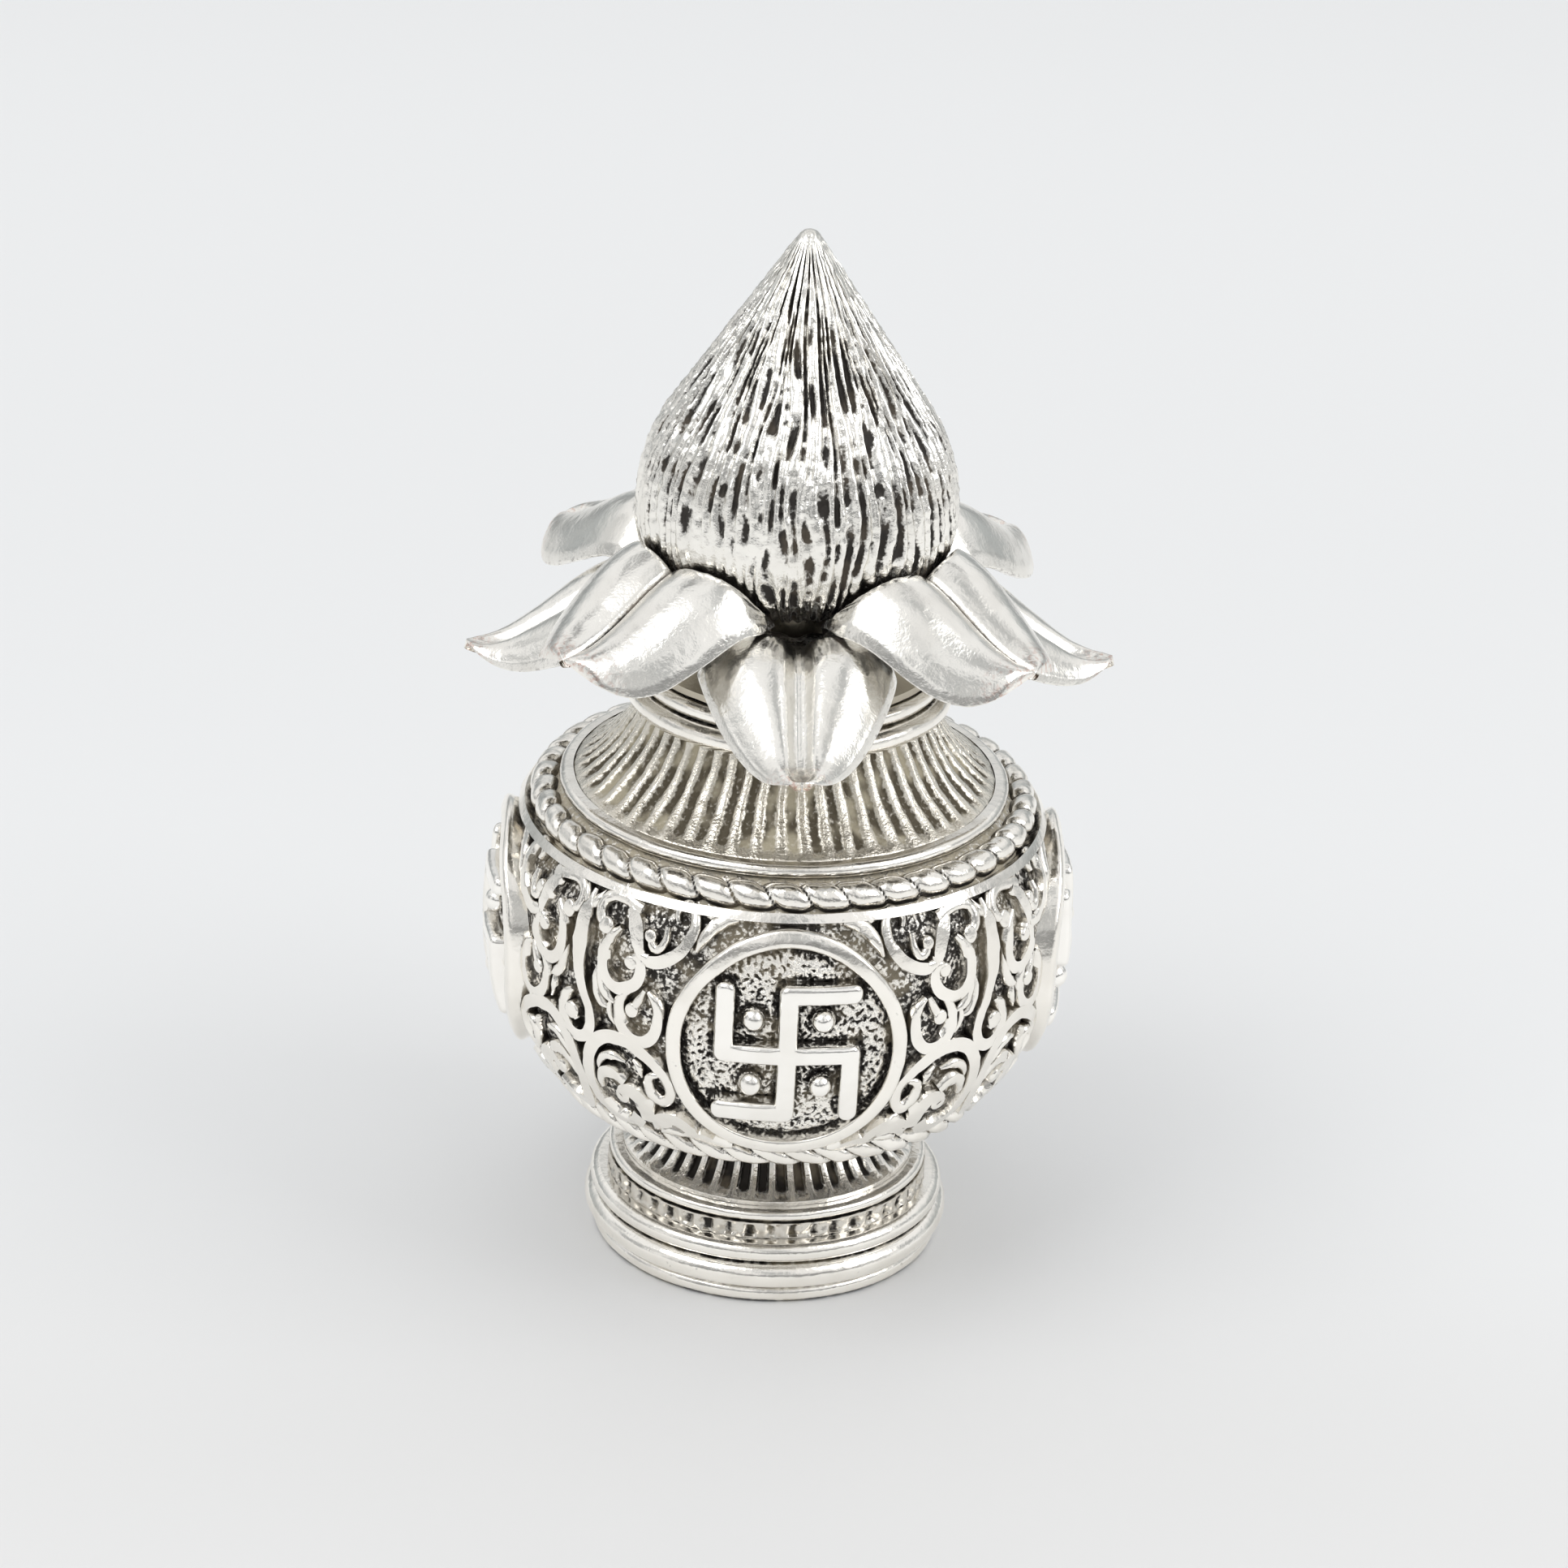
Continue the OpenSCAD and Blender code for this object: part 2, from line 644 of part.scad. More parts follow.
// A leaf along +X, from its root on the hub to its tip, hollow underneath
module leaf(lower) {
    along = 14;
    across = 12;
    root = hub_r + seat;
    way = (lower ? lower_reach : upper_reach) - root;
    root_z = lower ? hub_z + leaf_t + 0.1 : hub_z + hub_h - 0.1;
    rows = [for (i = [0:along]) (1 - cos(180 * pow(i / along, 0.9))) / 2];
    cols = [for (j = [0:across]) sin(90 * (2 * j / across - 1))];
    function top_of(s, t) =
        leaf_point(root + way * s, root_z + leaf_spine(s, lower), lower, s, t);
    n = across + 1;
    sheet = n * (along + 1);
    points = concat(
        [for (s = rows, t = cols) top_of(s, t)],
        [for (s = rows, t = cols) top_of(s, t) - [0, 0, leaf_t]]);
    faces = concat(
        [for (i = [0:along - 1], j = [0:across - 1])
            let (a = i * n + j) each [[a, a + 1, a + n + 1], [a, a + n + 1, a + n]]],
        [for (i = [0:along - 1], j = [0:across - 1])
            let (a = sheet + i * n + j) each [[a, a + n + 1, a + 1], [a, a + n, a + n + 1]]],
        [for (i = [0:along - 1], j = [0, across])
            let (a = i * n + j, b = a + n, c = sheet + b, d = sheet + a)
            each (j == 0 ? [[a, b, c], [a, c, d]] : [[a, c, b], [a, d, c]])],
        [for (i = [0, along], j = [0:across - 1])
            let (a = i * n + j, b = a + 1, c = sheet + b, d = sheet + a)
            each (i == 0 ? [[a, c, b], [a, d, c]] : [[a, b, c], [a, c, d]])]);
    polyhedron(points, faces, convexity = 6);
}

module lower_leaf(side) {
    color(bright) rotate([0, 0, side]) leaf(true);
}

module upper_leaf(side) {
    color(bright) rotate([0, 0, side]) leaf(false);
}

// ---------------------------------------------------------------- coconut

// Half the coconut's section, shrunk inwards by skin: a round bottom, a full shoulder and a
// straight taper to the tip
module coco_half(skin) {
    low = [coco_r - coco_low_r, coco_z + coco_low_r];
    arc = [coco_r - coco_arc_r, low[1]];
    shoulder = arc + (coco_arc_r - skin) * [cos(coco_taper), sin(coco_taper)];
    nub = max(coco_tip_r - skin, 0.01);
    nub_z = shoulder[1] + shoulder[0] / tan(coco_taper) - nub / sin(coco_taper);
    polygon(concat(
        [[0, coco_z + skin]],
        arc_points(low, coco_low_r - skin, -90, 0, 15),
        arc_points(arc, coco_arc_r - skin, coco_taper / 4, coco_taper, 9),
        arc_points([0, nub_z], nub, coco_taper, 90, 30)));
}

// Husk with staggered upright fibre grooves cut into it, hollow inside
module coconut_shell() {
    tiers = [[3, 12.5], [14.5, 22], [23.5, 33]];
    pitch = 360 / coco_fibres;
    color(silver) difference() {
        rotate_extrude() difference() {
            coco_half(0);
            coco_half(coco_wall);
        }
        for (k = [0:len(tiers) - 1], i = [0:coco_fibres - 1])
            rotate([0, 0, (i + k / 2) * pitch])
                rotate_extrude(angle = pitch * 0.36) difference() {
                    translate([0.5, coco_z + tiers[k][0] + 0.9 * sin(i * 97 + k * 40)])
                        square([coco_r + 1, tiers[k][1] - tiers[k][0]]);
                    coco_half(coco_groove);
                }
    }
}

// Peg that drops into the crown's hub
module coconut_peg() {
    chamfer = 0.8;
    color(shade) translate([0, 0, coco_z - peg_h]) {
        cylinder(r1 = peg_r - chamfer, r2 = peg_r, h = chamfer);
        translate([0, 0, chamfer]) cylinder(r = peg_r, h = peg_h - chamfer - seat);
    }
}

// ---------------------------------------------------------------- assembly

base_plate();
foot_base();
foot_upper_roll();
dentil_ring();
collar_ring();
fluted_stem();
bowl();
lower_rope();
border_band();
upper_rope();
shoulder_bead();
fluted_neck();
rim_lower_bead();
rim_upper_bead();
for (i = [0:3]) {
    face = i * 90 - 90;
    scroll_panel(face + 45);
    medallion_ring(face);
    medallion_plate(face);
    medallion_symbol(face);
    lower_leaf(face);
    upper_leaf(upper_side(i));
}
crown_collar();
crown_hub();
coconut_shell();
coconut_peg();
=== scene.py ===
from math import asin, atan2, ceil, copysign, cos, degrees, exp, hypot, pi, radians, sin, sqrt, tan
from random import Random

import bmesh
import bpy
from mathutils import Matrix, Vector, noise


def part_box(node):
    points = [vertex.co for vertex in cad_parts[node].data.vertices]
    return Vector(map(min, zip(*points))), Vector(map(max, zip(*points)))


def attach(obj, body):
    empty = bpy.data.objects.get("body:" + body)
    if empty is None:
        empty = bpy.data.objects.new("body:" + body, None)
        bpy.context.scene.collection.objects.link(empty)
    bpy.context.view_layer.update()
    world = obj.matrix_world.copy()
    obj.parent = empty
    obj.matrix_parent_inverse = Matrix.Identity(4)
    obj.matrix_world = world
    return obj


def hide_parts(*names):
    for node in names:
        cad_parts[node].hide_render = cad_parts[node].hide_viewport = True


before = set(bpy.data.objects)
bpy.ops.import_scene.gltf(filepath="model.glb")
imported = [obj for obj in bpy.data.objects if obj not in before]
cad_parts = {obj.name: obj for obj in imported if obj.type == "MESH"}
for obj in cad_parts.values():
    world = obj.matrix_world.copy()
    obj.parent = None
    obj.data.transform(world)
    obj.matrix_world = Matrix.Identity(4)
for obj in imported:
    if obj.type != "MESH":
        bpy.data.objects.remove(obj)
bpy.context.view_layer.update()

# ---------------------------------------------------------------- closing plate and foot rolls
# The foot is spun from sheet: a thin lip, two half-round rolls and a turned plate that closes it from
# below. It is silver plate over brass, bright on the rolls and blackened in the grooves between them.

MM = 0.001


def extent(node):
    """Outer radius, lowest and highest height of a turned node, in millimetres."""
    low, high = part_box(node)
    return high.x / MM, low.z / MM, high.z / MM


def arc(x, z, r, start, end, steps):
    """Points along an arc, from one angle to another in degrees."""
    turns = [radians(start + (end - start) * i / steps) for i in range(steps + 1)]
    return [(x + r * cos(a), z + r * sin(a)) for a in turns]


def even(points, step):
    """The same line with its long stretches cut into equal steps."""
    line = [points[0]]
    for (x0, z0), (x1, z1) in zip(points, points[1:]):
        n = max(1, ceil(hypot(x1 - x0, z1 - z0) / step))
        line += [(x0 + (x1 - x0) * i / n, z0 + (z1 - z0) * i / n) for i in range(1, n + 1)]
    return line


def lathe(section, steps, closed=True):
    """A section in the XZ plane, turned once round the axis."""
    line = section + section[:1] if closed else section
    bm = bmesh.new()
    bmesh.ops.create_grid(bm, x_segments=len(line) - 1, y_segments=steps, size=1)
    for v in bm.verts:
        x, z = line[round((v.co.x + 1) / 2 * (len(line) - 1))]
        turn = pi * (v.co.y + 1)
        v.co = Vector((x * cos(turn), x * sin(turn), z))
    bmesh.ops.remove_doubles(bm, verts=bm.verts, dist=1e-4)
    bmesh.ops.recalc_face_normals(bm, faces=bm.faces)
    return bm


def unevenness(bm, height=0.05, size=7):
    """The slight waviness of hand-spun metal."""
    bm.normal_update()
    for v in bm.verts:
        v.co += v.normal * height * noise.noise(v.co / size)


def piece(bm, name, body, nodes, material, sharp=45):
    """Turns a mesh drawn in millimetres into a piece of the object."""
    bmesh.ops.scale(bm, vec=(MM, MM, MM), verts=bm.verts)
    mesh = bpy.data.meshes.new(name)
    bm.to_mesh(mesh)
    bm.free()
    mesh.shade_smooth()
    mesh.set_sharp_from_angle(angle=radians(sharp))
    mesh.materials.append(material)
    obj = bpy.data.objects.new(name, mesh)
    bpy.context.scene.collection.objects.link(obj)
    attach(obj, body)
    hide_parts(*nodes)
    return obj


def linear(hex_colour):
    """An sRGB hex colour as linear RGBA."""
    parts = [int(hex_colour[i:i + 2], 16) / 255 for i in (1, 3, 5)]
    return (*[c / 12.92 if c <= 0.04045 else ((c + 0.055) / 1.055) ** 2.4 for c in parts], 1)


def add(tree, kind, settings, inputs, output=0):
    """Adds a node with its settings and inputs (values, hex colours or sockets) and gives one output."""
    node = tree.nodes.new("ShaderNode" + kind)
    for name, value in settings.items():
        setattr(node, name, value)
    for place, value in inputs.items():
        if isinstance(value, bpy.types.NodeSocket):
            tree.links.new(value, node.inputs[place])
        else:
            node.inputs[place].default_value = linear(value) if isinstance(value, str) else value
    return node.outputs[output]


SMOOTH = {"interpolation_type": "SMOOTHSTEP"}
COLOURS = {"data_type": "RGBA"}
TIMES = {"operation": "MULTIPLY"}
TIMES_PLUS = {"operation": "MULTIPLY_ADD"}
HAZE, COPPER, DRIED_POLISH = "#b9b2a6", "#c9a092", "#cfc6b2"
CLOUD_SIZE, SWELL_SIZE, SKIN_SIZE = 5, 1.3, 0.3
SWELL_DEPTH = 0.12


def plated_silver(name, bright="#f1eee8", dark="#2a2622", stain="#8f8672", crevice=0.9, reach=1.0,
                  gloss=0.12, pits=0.35, copper=0.0, speckle=0.9, fleck=0.5, grit=0.05,
                  khaki_from=1000.0):
    """Silver electroplate, antiqued: sulphide blackening stays where the polishing mop can't reach.

    bright, dark and stain are the metal, the blackening and the brown that it turns in patches. crevice
    is how near, in millimetres, another surface keeps the mop off, and reach how much of a hollow stays
    black. speckle is how broken the blackening is, and fleck the size of its flecks. gloss is the least
    roughness, pits and grit the strength and depth of the pitting, and copper how much of the base
    metal shows at the edge. Above the height khaki_from the hollows hold dried polish instead.
    """
    material = bpy.data.materials.new(name)
    material.use_nodes = True
    tree = material.node_tree
    shader = tree.nodes["Principled BSDF"]
    place = add(tree, "TexCoord", {}, {}, "Object")
    grain = add(tree, "TexNoise", {}, {"Vector": place, "Scale": 1 / (fleck * MM), "Detail": 4.0})
    clouds = add(tree, "TexNoise", {}, {"Vector": place, "Scale": 1 / (CLOUD_SIZE * MM), "Detail": 3.0})

    open_sky = add(tree, "AmbientOcclusion", {"samples": 6}, {"Distance": crevice * MM}, "AO")
    shut = add(tree, "MapRange", SMOOTH, {0: open_sky, 1: 0.62, 2: 0.22})
    hollow = add(tree, "Attribute", {"attribute_name": "hollow"}, {}, "Fac")
    edge = add(tree, "Attribute", {"attribute_name": "edge"}, {}, "Fac")
    inland = add(tree, "Math", {"operation": "SUBTRACT", "use_clamp": True}, {0: 1.0, 1: edge})
    shut = add(tree, "Math", TIMES, {0: shut, 1: inland})
    deepest = add(tree, "Math", {"operation": "MAXIMUM"}, {0: shut, 1: hollow})
    black = add(tree, "Math", TIMES, {0: deepest, 1: reach})
    broken = add(tree, "Math", TIMES_PLUS, {0: grain, 1: speckle, 2: -0.5 * speckle})
    uneven = add(tree, "Math", {"operation": "ADD"}, {0: black, 1: broken})
    patina = add(tree, "MapRange", SMOOTH, {0: uneven, 1: 0.3, 2: 0.72})

    haze = add(tree, "MapRange", SMOOTH, {0: clouds, 1: 0.35, 2: 0.75, 4: 0.16})
    clean = add(tree, "Mix", COLOURS, {0: haze, 6: bright, 7: HAZE}, 2)
    if copper:
        worn = add(tree, "MapRange", SMOOTH, {0: grain, 1: 0.45, 2: 0.7, 4: copper})
        bare = add(tree, "Math", TIMES, {0: worn, 1: edge})
        clean = add(tree, "Mix", COLOURS, {0: bare, 6: clean, 7: COPPER}, 2)
    stained = add(tree, "MapRange", SMOOTH, {0: clouds, 1: 0.48, 2: 0.62})
    grime = add(tree, "Mix", COLOURS, {0: stained, 6: dark, 7: stain}, 2)
    height = add(tree, "SeparateXYZ", {}, {"Vector": place}, "Z")
    polish = add(tree, "MapRange", SMOOTH,
                 {0: height, 1: khaki_from * MM, 2: (khaki_from + 1.5) * MM, 4: 0.85})
    grime = add(tree, "Mix", COLOURS, {0: polish, 6: grime, 7: DRIED_POLISH}, 2)
    colour = add(tree, "Mix", COLOURS, {0: patina, 6: clean, 7: grime}, 2)
    metal = add(tree, "MapRange", SMOOTH, {0: patina, 3: 1.0, 4: 0.35})
    sheen = add(tree, "MapRange", SMOOTH, {0: clouds, 1: 0.3, 2: 0.8, 3: gloss, 4: gloss + 0.12})
    rough = add(tree, "Math", TIMES_PLUS, {0: patina, 1: 0.4, 2: sheen})

    swell = add(tree, "TexNoise", {}, {"Vector": place, "Scale": 1 / (SWELL_SIZE * MM), "Detail": 1.0})
    skin = add(tree, "TexNoise", {}, {"Vector": place, "Scale": 1 / (SKIN_SIZE * MM), "Detail": 2.0})
    coarse = add(tree, "Bump", {}, {"Strength": 0.5, "Distance": SWELL_DEPTH * MM, "Height": swell})
    fine = add(tree, "Bump", {},
               {"Strength": pits, "Distance": grit * MM, "Height": skin, "Normal": coarse})
    for place, value in (("Base Color", colour), ("Metallic", metal), ("Roughness", rough),
                         ("Normal", fine)):
        tree.links.new(value, shader.inputs[place])
    return material


ROUND = 192


def half_round(node, name, inner, steps=18, cut=1.0, around=ROUND, wave=0.05, wave_size=7):
    """A half-round wire bent into a ring; inner is the radius of the hole in it."""
    radius, bottom, top = extent(node)
    roll = (top - bottom) / 2
    section = [(inner, bottom)] + arc(radius - roll, bottom + roll, roll, -90, 90, steps) + [(inner, top)]
    wire = lathe(even(section, cut), around)
    unevenness(wire, wave, wave_size)
    piece(wire, name, "pot", [node], bright_silver)


# Mopped electroplate: near-mirror crests under a faint haze, with flecks of black in the seams.
bright_silver = plated_silver("bright_silver_plate", reach=0.75, speckle=1.8, fleck=0.8)
# Electroplate that no mop reached: greyer than the rest, with blurred reflections.
worn_silver = plated_silver("unpolished_silver_plate", bright="#d5d1c9", gloss=0.25, pits=0.6)

BORE, bottom, top = extent("base_plate")
turned = lathe(even([(0, bottom), (BORE, bottom), (BORE, top), (0, top)], 1.5), 96, closed=False)
piece(turned, "closing_plate", "pot", ["base_plate"], worn_silver, sharp=30)

radius, bottom, top = extent("foot_base")
LIP = 2.0
roll = (top - LIP) / 2
section = ([(BORE, bottom)] + arc(radius - LIP, LIP / 2, LIP / 2, -90, 62, 10)
           + arc(radius - roll, LIP + roll, roll, -75, 90, 18) + [(BORE, top)])
turned = lathe(even(section, 1.2), ROUND)
unevenness(turned)
piece(turned, "foot_lip_and_roll", "pot", ["foot_base"], bright_silver)

half_round("foot_upper_roll", "foot_second_roll", BORE, steps=20, cut=1.2)

# ---------------------------------------------------------------- gallery wire and collar wire
# Gallery wire is a strip rolled with square teeth, bent round and soldered on, with a plain half-round
# wire over it. The gaps between the teeth stay black.

TEETH = 46
TOOTH_HIGH = 0.6
STRIP_THICK = 2.0


def hollows(bm):
    """The layer that says how far a point lies below the polished surface, from 0 to 1."""
    return bm.verts.layers.float.get("hollow") or bm.verts.layers.float.new("hollow")


def valley(share, flank, floor_width):
    """Depth across a repeat, from 0 on the rib to 1 on the floor of the groove."""
    out = abs(share - 0.5)
    return min(1.0, max(0.0, (floor_width / 2 + flank - out) / flank))


def cut_flutes(bm, count, depth, low, high, flank, floor_width, seed, sway=0.0):
    """Presses count grooves into a turned wall between two heights."""
    jitter = Random(seed)
    widths = [jitter.uniform(0.85, 1.15) for _ in range(count)]
    layer = hollows(bm)
    for v in bm.verts:
        if not low < v.co.z < high:
            continue
        round_turn = (degrees(atan2(v.co.y, v.co.x)) / 360 + sway * noise.noise(v.co / 4)) % 1 * count
        end = min(1.0, (v.co.z - low) / 0.5, (high - v.co.z) / 0.5)
        width = widths[int(round_turn) % count]
        sunk = valley(round_turn % 1, flank, floor_width * width) * end
        v[layer] = sunk
        out = hypot(v.co.x, v.co.y)
        v.co.x -= v.co.x / out * depth * sunk
        v.co.y -= v.co.y / out * depth * sunk


radius, bottom, top = extent("dentil_ring")
back = radius - STRIP_THICK
strip = lathe(even([(back, bottom), (radius, bottom), (radius, top), (back, top)], 0.2), TEETH * 12)
layer = hollows(strip)
for v in strip.verts:
    if hypot(v.co.x, v.co.y) < radius - 0.1 or not bottom + 0.3 < v.co.z < top - 0.3:
        continue
    share = degrees(atan2(v.co.y, v.co.x)) / 360 * TEETH % 1
    worn = 0.5 + noise.noise(v.co / 1.6)
    gap = valley(share, 0.3, 0.1) * (0.55 + 0.45 * worn)
    v[layer] = 0.95 * gap
    v.co.xy = v.co.xy.normalized() * (radius - TOOTH_HIGH * gap)
unevenness(strip, 0.22, 0.9)
piece(strip, "gallery_wire", "pot", ["dentil_ring"], worn_silver)

half_round("collar_ring", "collar_wire", BORE, steps=14)

# ---------------------------------------------------------------- fluted stem
# The stem is spun to a waist and pressed with narrow upright slots. Little polish gets under the belly,
# so its slots are nearly black.

radius, bottom, top = extent("fluted_stem")
SLOTS = 44
SLOT_DEEP = 1.0
WAIST = 12.9
STEM_CURVE = 8.0


def arc_between(start, end, r, steps):
    """A hollow curve of radius r from one point to another, bulging towards the axis."""
    (x0, z0), (x1, z1) = start, end
    half = hypot(x1 - x0, z1 - z0) / 2
    rise = sqrt(r * r - half * half)
    x = (x0 + x1) / 2 + (z1 - z0) / 2 / half * rise
    z = (z0 + z1) / 2 - (x1 - x0) / 2 / half * rise
    a0 = degrees(atan2(z0 - z, x0 - x)) % 360
    a1 = degrees(atan2(z1 - z, x1 - x)) % 360
    return arc(x, z, r, a0, a1, steps)


wall = arc_between((radius, bottom + 0.5), (WAIST, top), STEM_CURVE, 24)
section = [(BORE, bottom), (radius, bottom)] + wall + [(BORE, top)]
turned = lathe(even(section, 1.0), SLOTS * 12)
cut_flutes(turned, SLOTS, SLOT_DEEP, bottom + 0.7, top - 0.3, flank=0.15, floor_width=0.35, seed=3)
# Antiqued electroplate: bright crests over brown-black hollows.
antique_silver = plated_silver("antiqued_silver_plate", bright="#eeebe5", crevice=1.7, stain="#756c5c",
                               grit=0.08)
piece(turned, "slotted_stem", "pot", ["fluted_stem"], antique_silver)

# ---------------------------------------------------------------- bowl
# The bowl is raised from one sheet and stippled with a blunt punch, so that the ground between the
# scrolls holds the blackening. Inside it is plain plate.

BELLY_MID = 39.0
CREST = 31.5
RELIEF = 1.3
SIDE, LOW, HIGH = 60.0, 22.0, 12.4
LOW_TURN, HIGH_TURN = 3.0, 7.0
WALL = 1.6
MOUTH = 20.8
STIPPLE_DEEP = 0.1
BOWL_ROWS = 80
_, bottom, top = extent("bowl")
SIDE_AT = (CREST - SIDE, BELLY_MID)
LOW_AT = (SIDE_AT[0] + (SIDE - LOW) * cos(radians(LOW_TURN)),
          BELLY_MID - (SIDE - LOW) * sin(radians(LOW_TURN)))
HIGH_AT = (SIDE_AT[0] + (SIDE - HIGH) * cos(radians(HIGH_TURN)),
           BELLY_MID + (SIDE - HIGH) * sin(radians(HIGH_TURN)))


def belly_at(z):
    """Radius of the belly's ground at a height, and how far its surface looks up, in radians."""
    (x, mid), r = SIDE_AT, SIDE - RELIEF
    if z < mid - r * sin(radians(LOW_TURN)):
        (x, mid), r = LOW_AT, LOW - RELIEF
    elif z > mid + r * sin(radians(HIGH_TURN)):
        (x, mid), r = HIGH_AT, HIGH - RELIEF
    up = asin(max(-1.0, min(1.0, (z - mid) / r)))
    return x + r * cos(up), up


rows = [bottom + (top - bottom) * i / BOWL_ROWS for i in range(BOWL_ROWS + 1)]
outside = [(belly_at(z)[0], z) for z in rows]
inside = [(belly_at(z)[0] - WALL * 1.1, z) for z in reversed(rows) if bottom + WALL < z < top - WALL]
section = [(0, bottom)] + outside + [(MOUTH, top), (MOUTH, top - WALL)] + inside + [(0, bottom + WALL)]
turned = lathe(section, 360, closed=False)
layer = hollows(turned)
for v in turned.verts:
    ground, up = belly_at(v.co.z)
    out = hypot(v.co.x, v.co.y)
    if out > ground - 0.2:
        mark = noise.noise(v.co / 0.8)
        v.co += Vector((v.co.x / out * cos(up), v.co.y / out * cos(up), sin(up))) * STIPPLE_DEEP * mark
        v[layer] = 0.64 - 0.35 * mark
# Electroplate over punched metal: bright points among black pits, khaki with dried polish up near the neck.
stippled_silver = plated_silver("stippled_silver_plate", crevice=1.6, pits=1.0, gloss=0.18, speckle=2.6,
                                fleck=0.45, grit=0.16, stain="#7f7767", khaki_from=50.5)
piece(turned, "raised_bowl", "pot", ["bowl"], stippled_silver, sharp=60)

# ---------------------------------------------------------------- twisted wires
# Each rope is a round wire rolled with slanting notches so that it looks twisted, bent round the belly and
# soldered into the groove between the scrolls and the next moulding.

WIRE_SIDES = 40


def rope(node, name, centre, ground, turn, wire, beads, twist):
    """A twisted wire laid on an arc of the belly's section."""
    a = radians(turn)
    x, z = centre[0] + ground * cos(a), centre[1] + ground * sin(a)
    bm = lathe(arc(x, z, wire, turn, turn + 360 - 360 / WIRE_SIDES, WIRE_SIDES - 1), beads * 16)
    layer = hollows(bm)
    for v in bm.verts:
        flat = hypot(v.co.x, v.co.y)
        phi = atan2(v.co.z - z, flat - x)
        share = (twist * phi + atan2(v.co.y, v.co.x) * beads) / (2 * pi) % 1
        seam = abs(2 * share - 1) ** 4
        v[layer] = max(0.0, seam * 2.2 - 1.1)
        reach = wire * (1 - 0.36 * seam)
        flat_new = x + reach * cos(phi)
        v.co = Vector((v.co.x / flat * flat_new, v.co.y / flat * flat_new, z + reach * sin(phi)))
    unevenness(bm, 0.15, 2)
    piece(bm, name, "pot", [node], antique_silver, sharp=70)


rope("lower_rope", "lower_twisted_wire", LOW_AT, LOW - RELIEF, -48.5, 1.7, 45, 3)

# ---------------------------------------------------------------- scroll panels
# Four cast panels of leafy scrolls, curved to the belly and soldered on between the medallions. Their
# flat crests are mopped bright and the ground between them is left black.

PANEL_DEPTH = 1.25
STEPS_PER_KNOT = 5
FULLNESS = 1.38
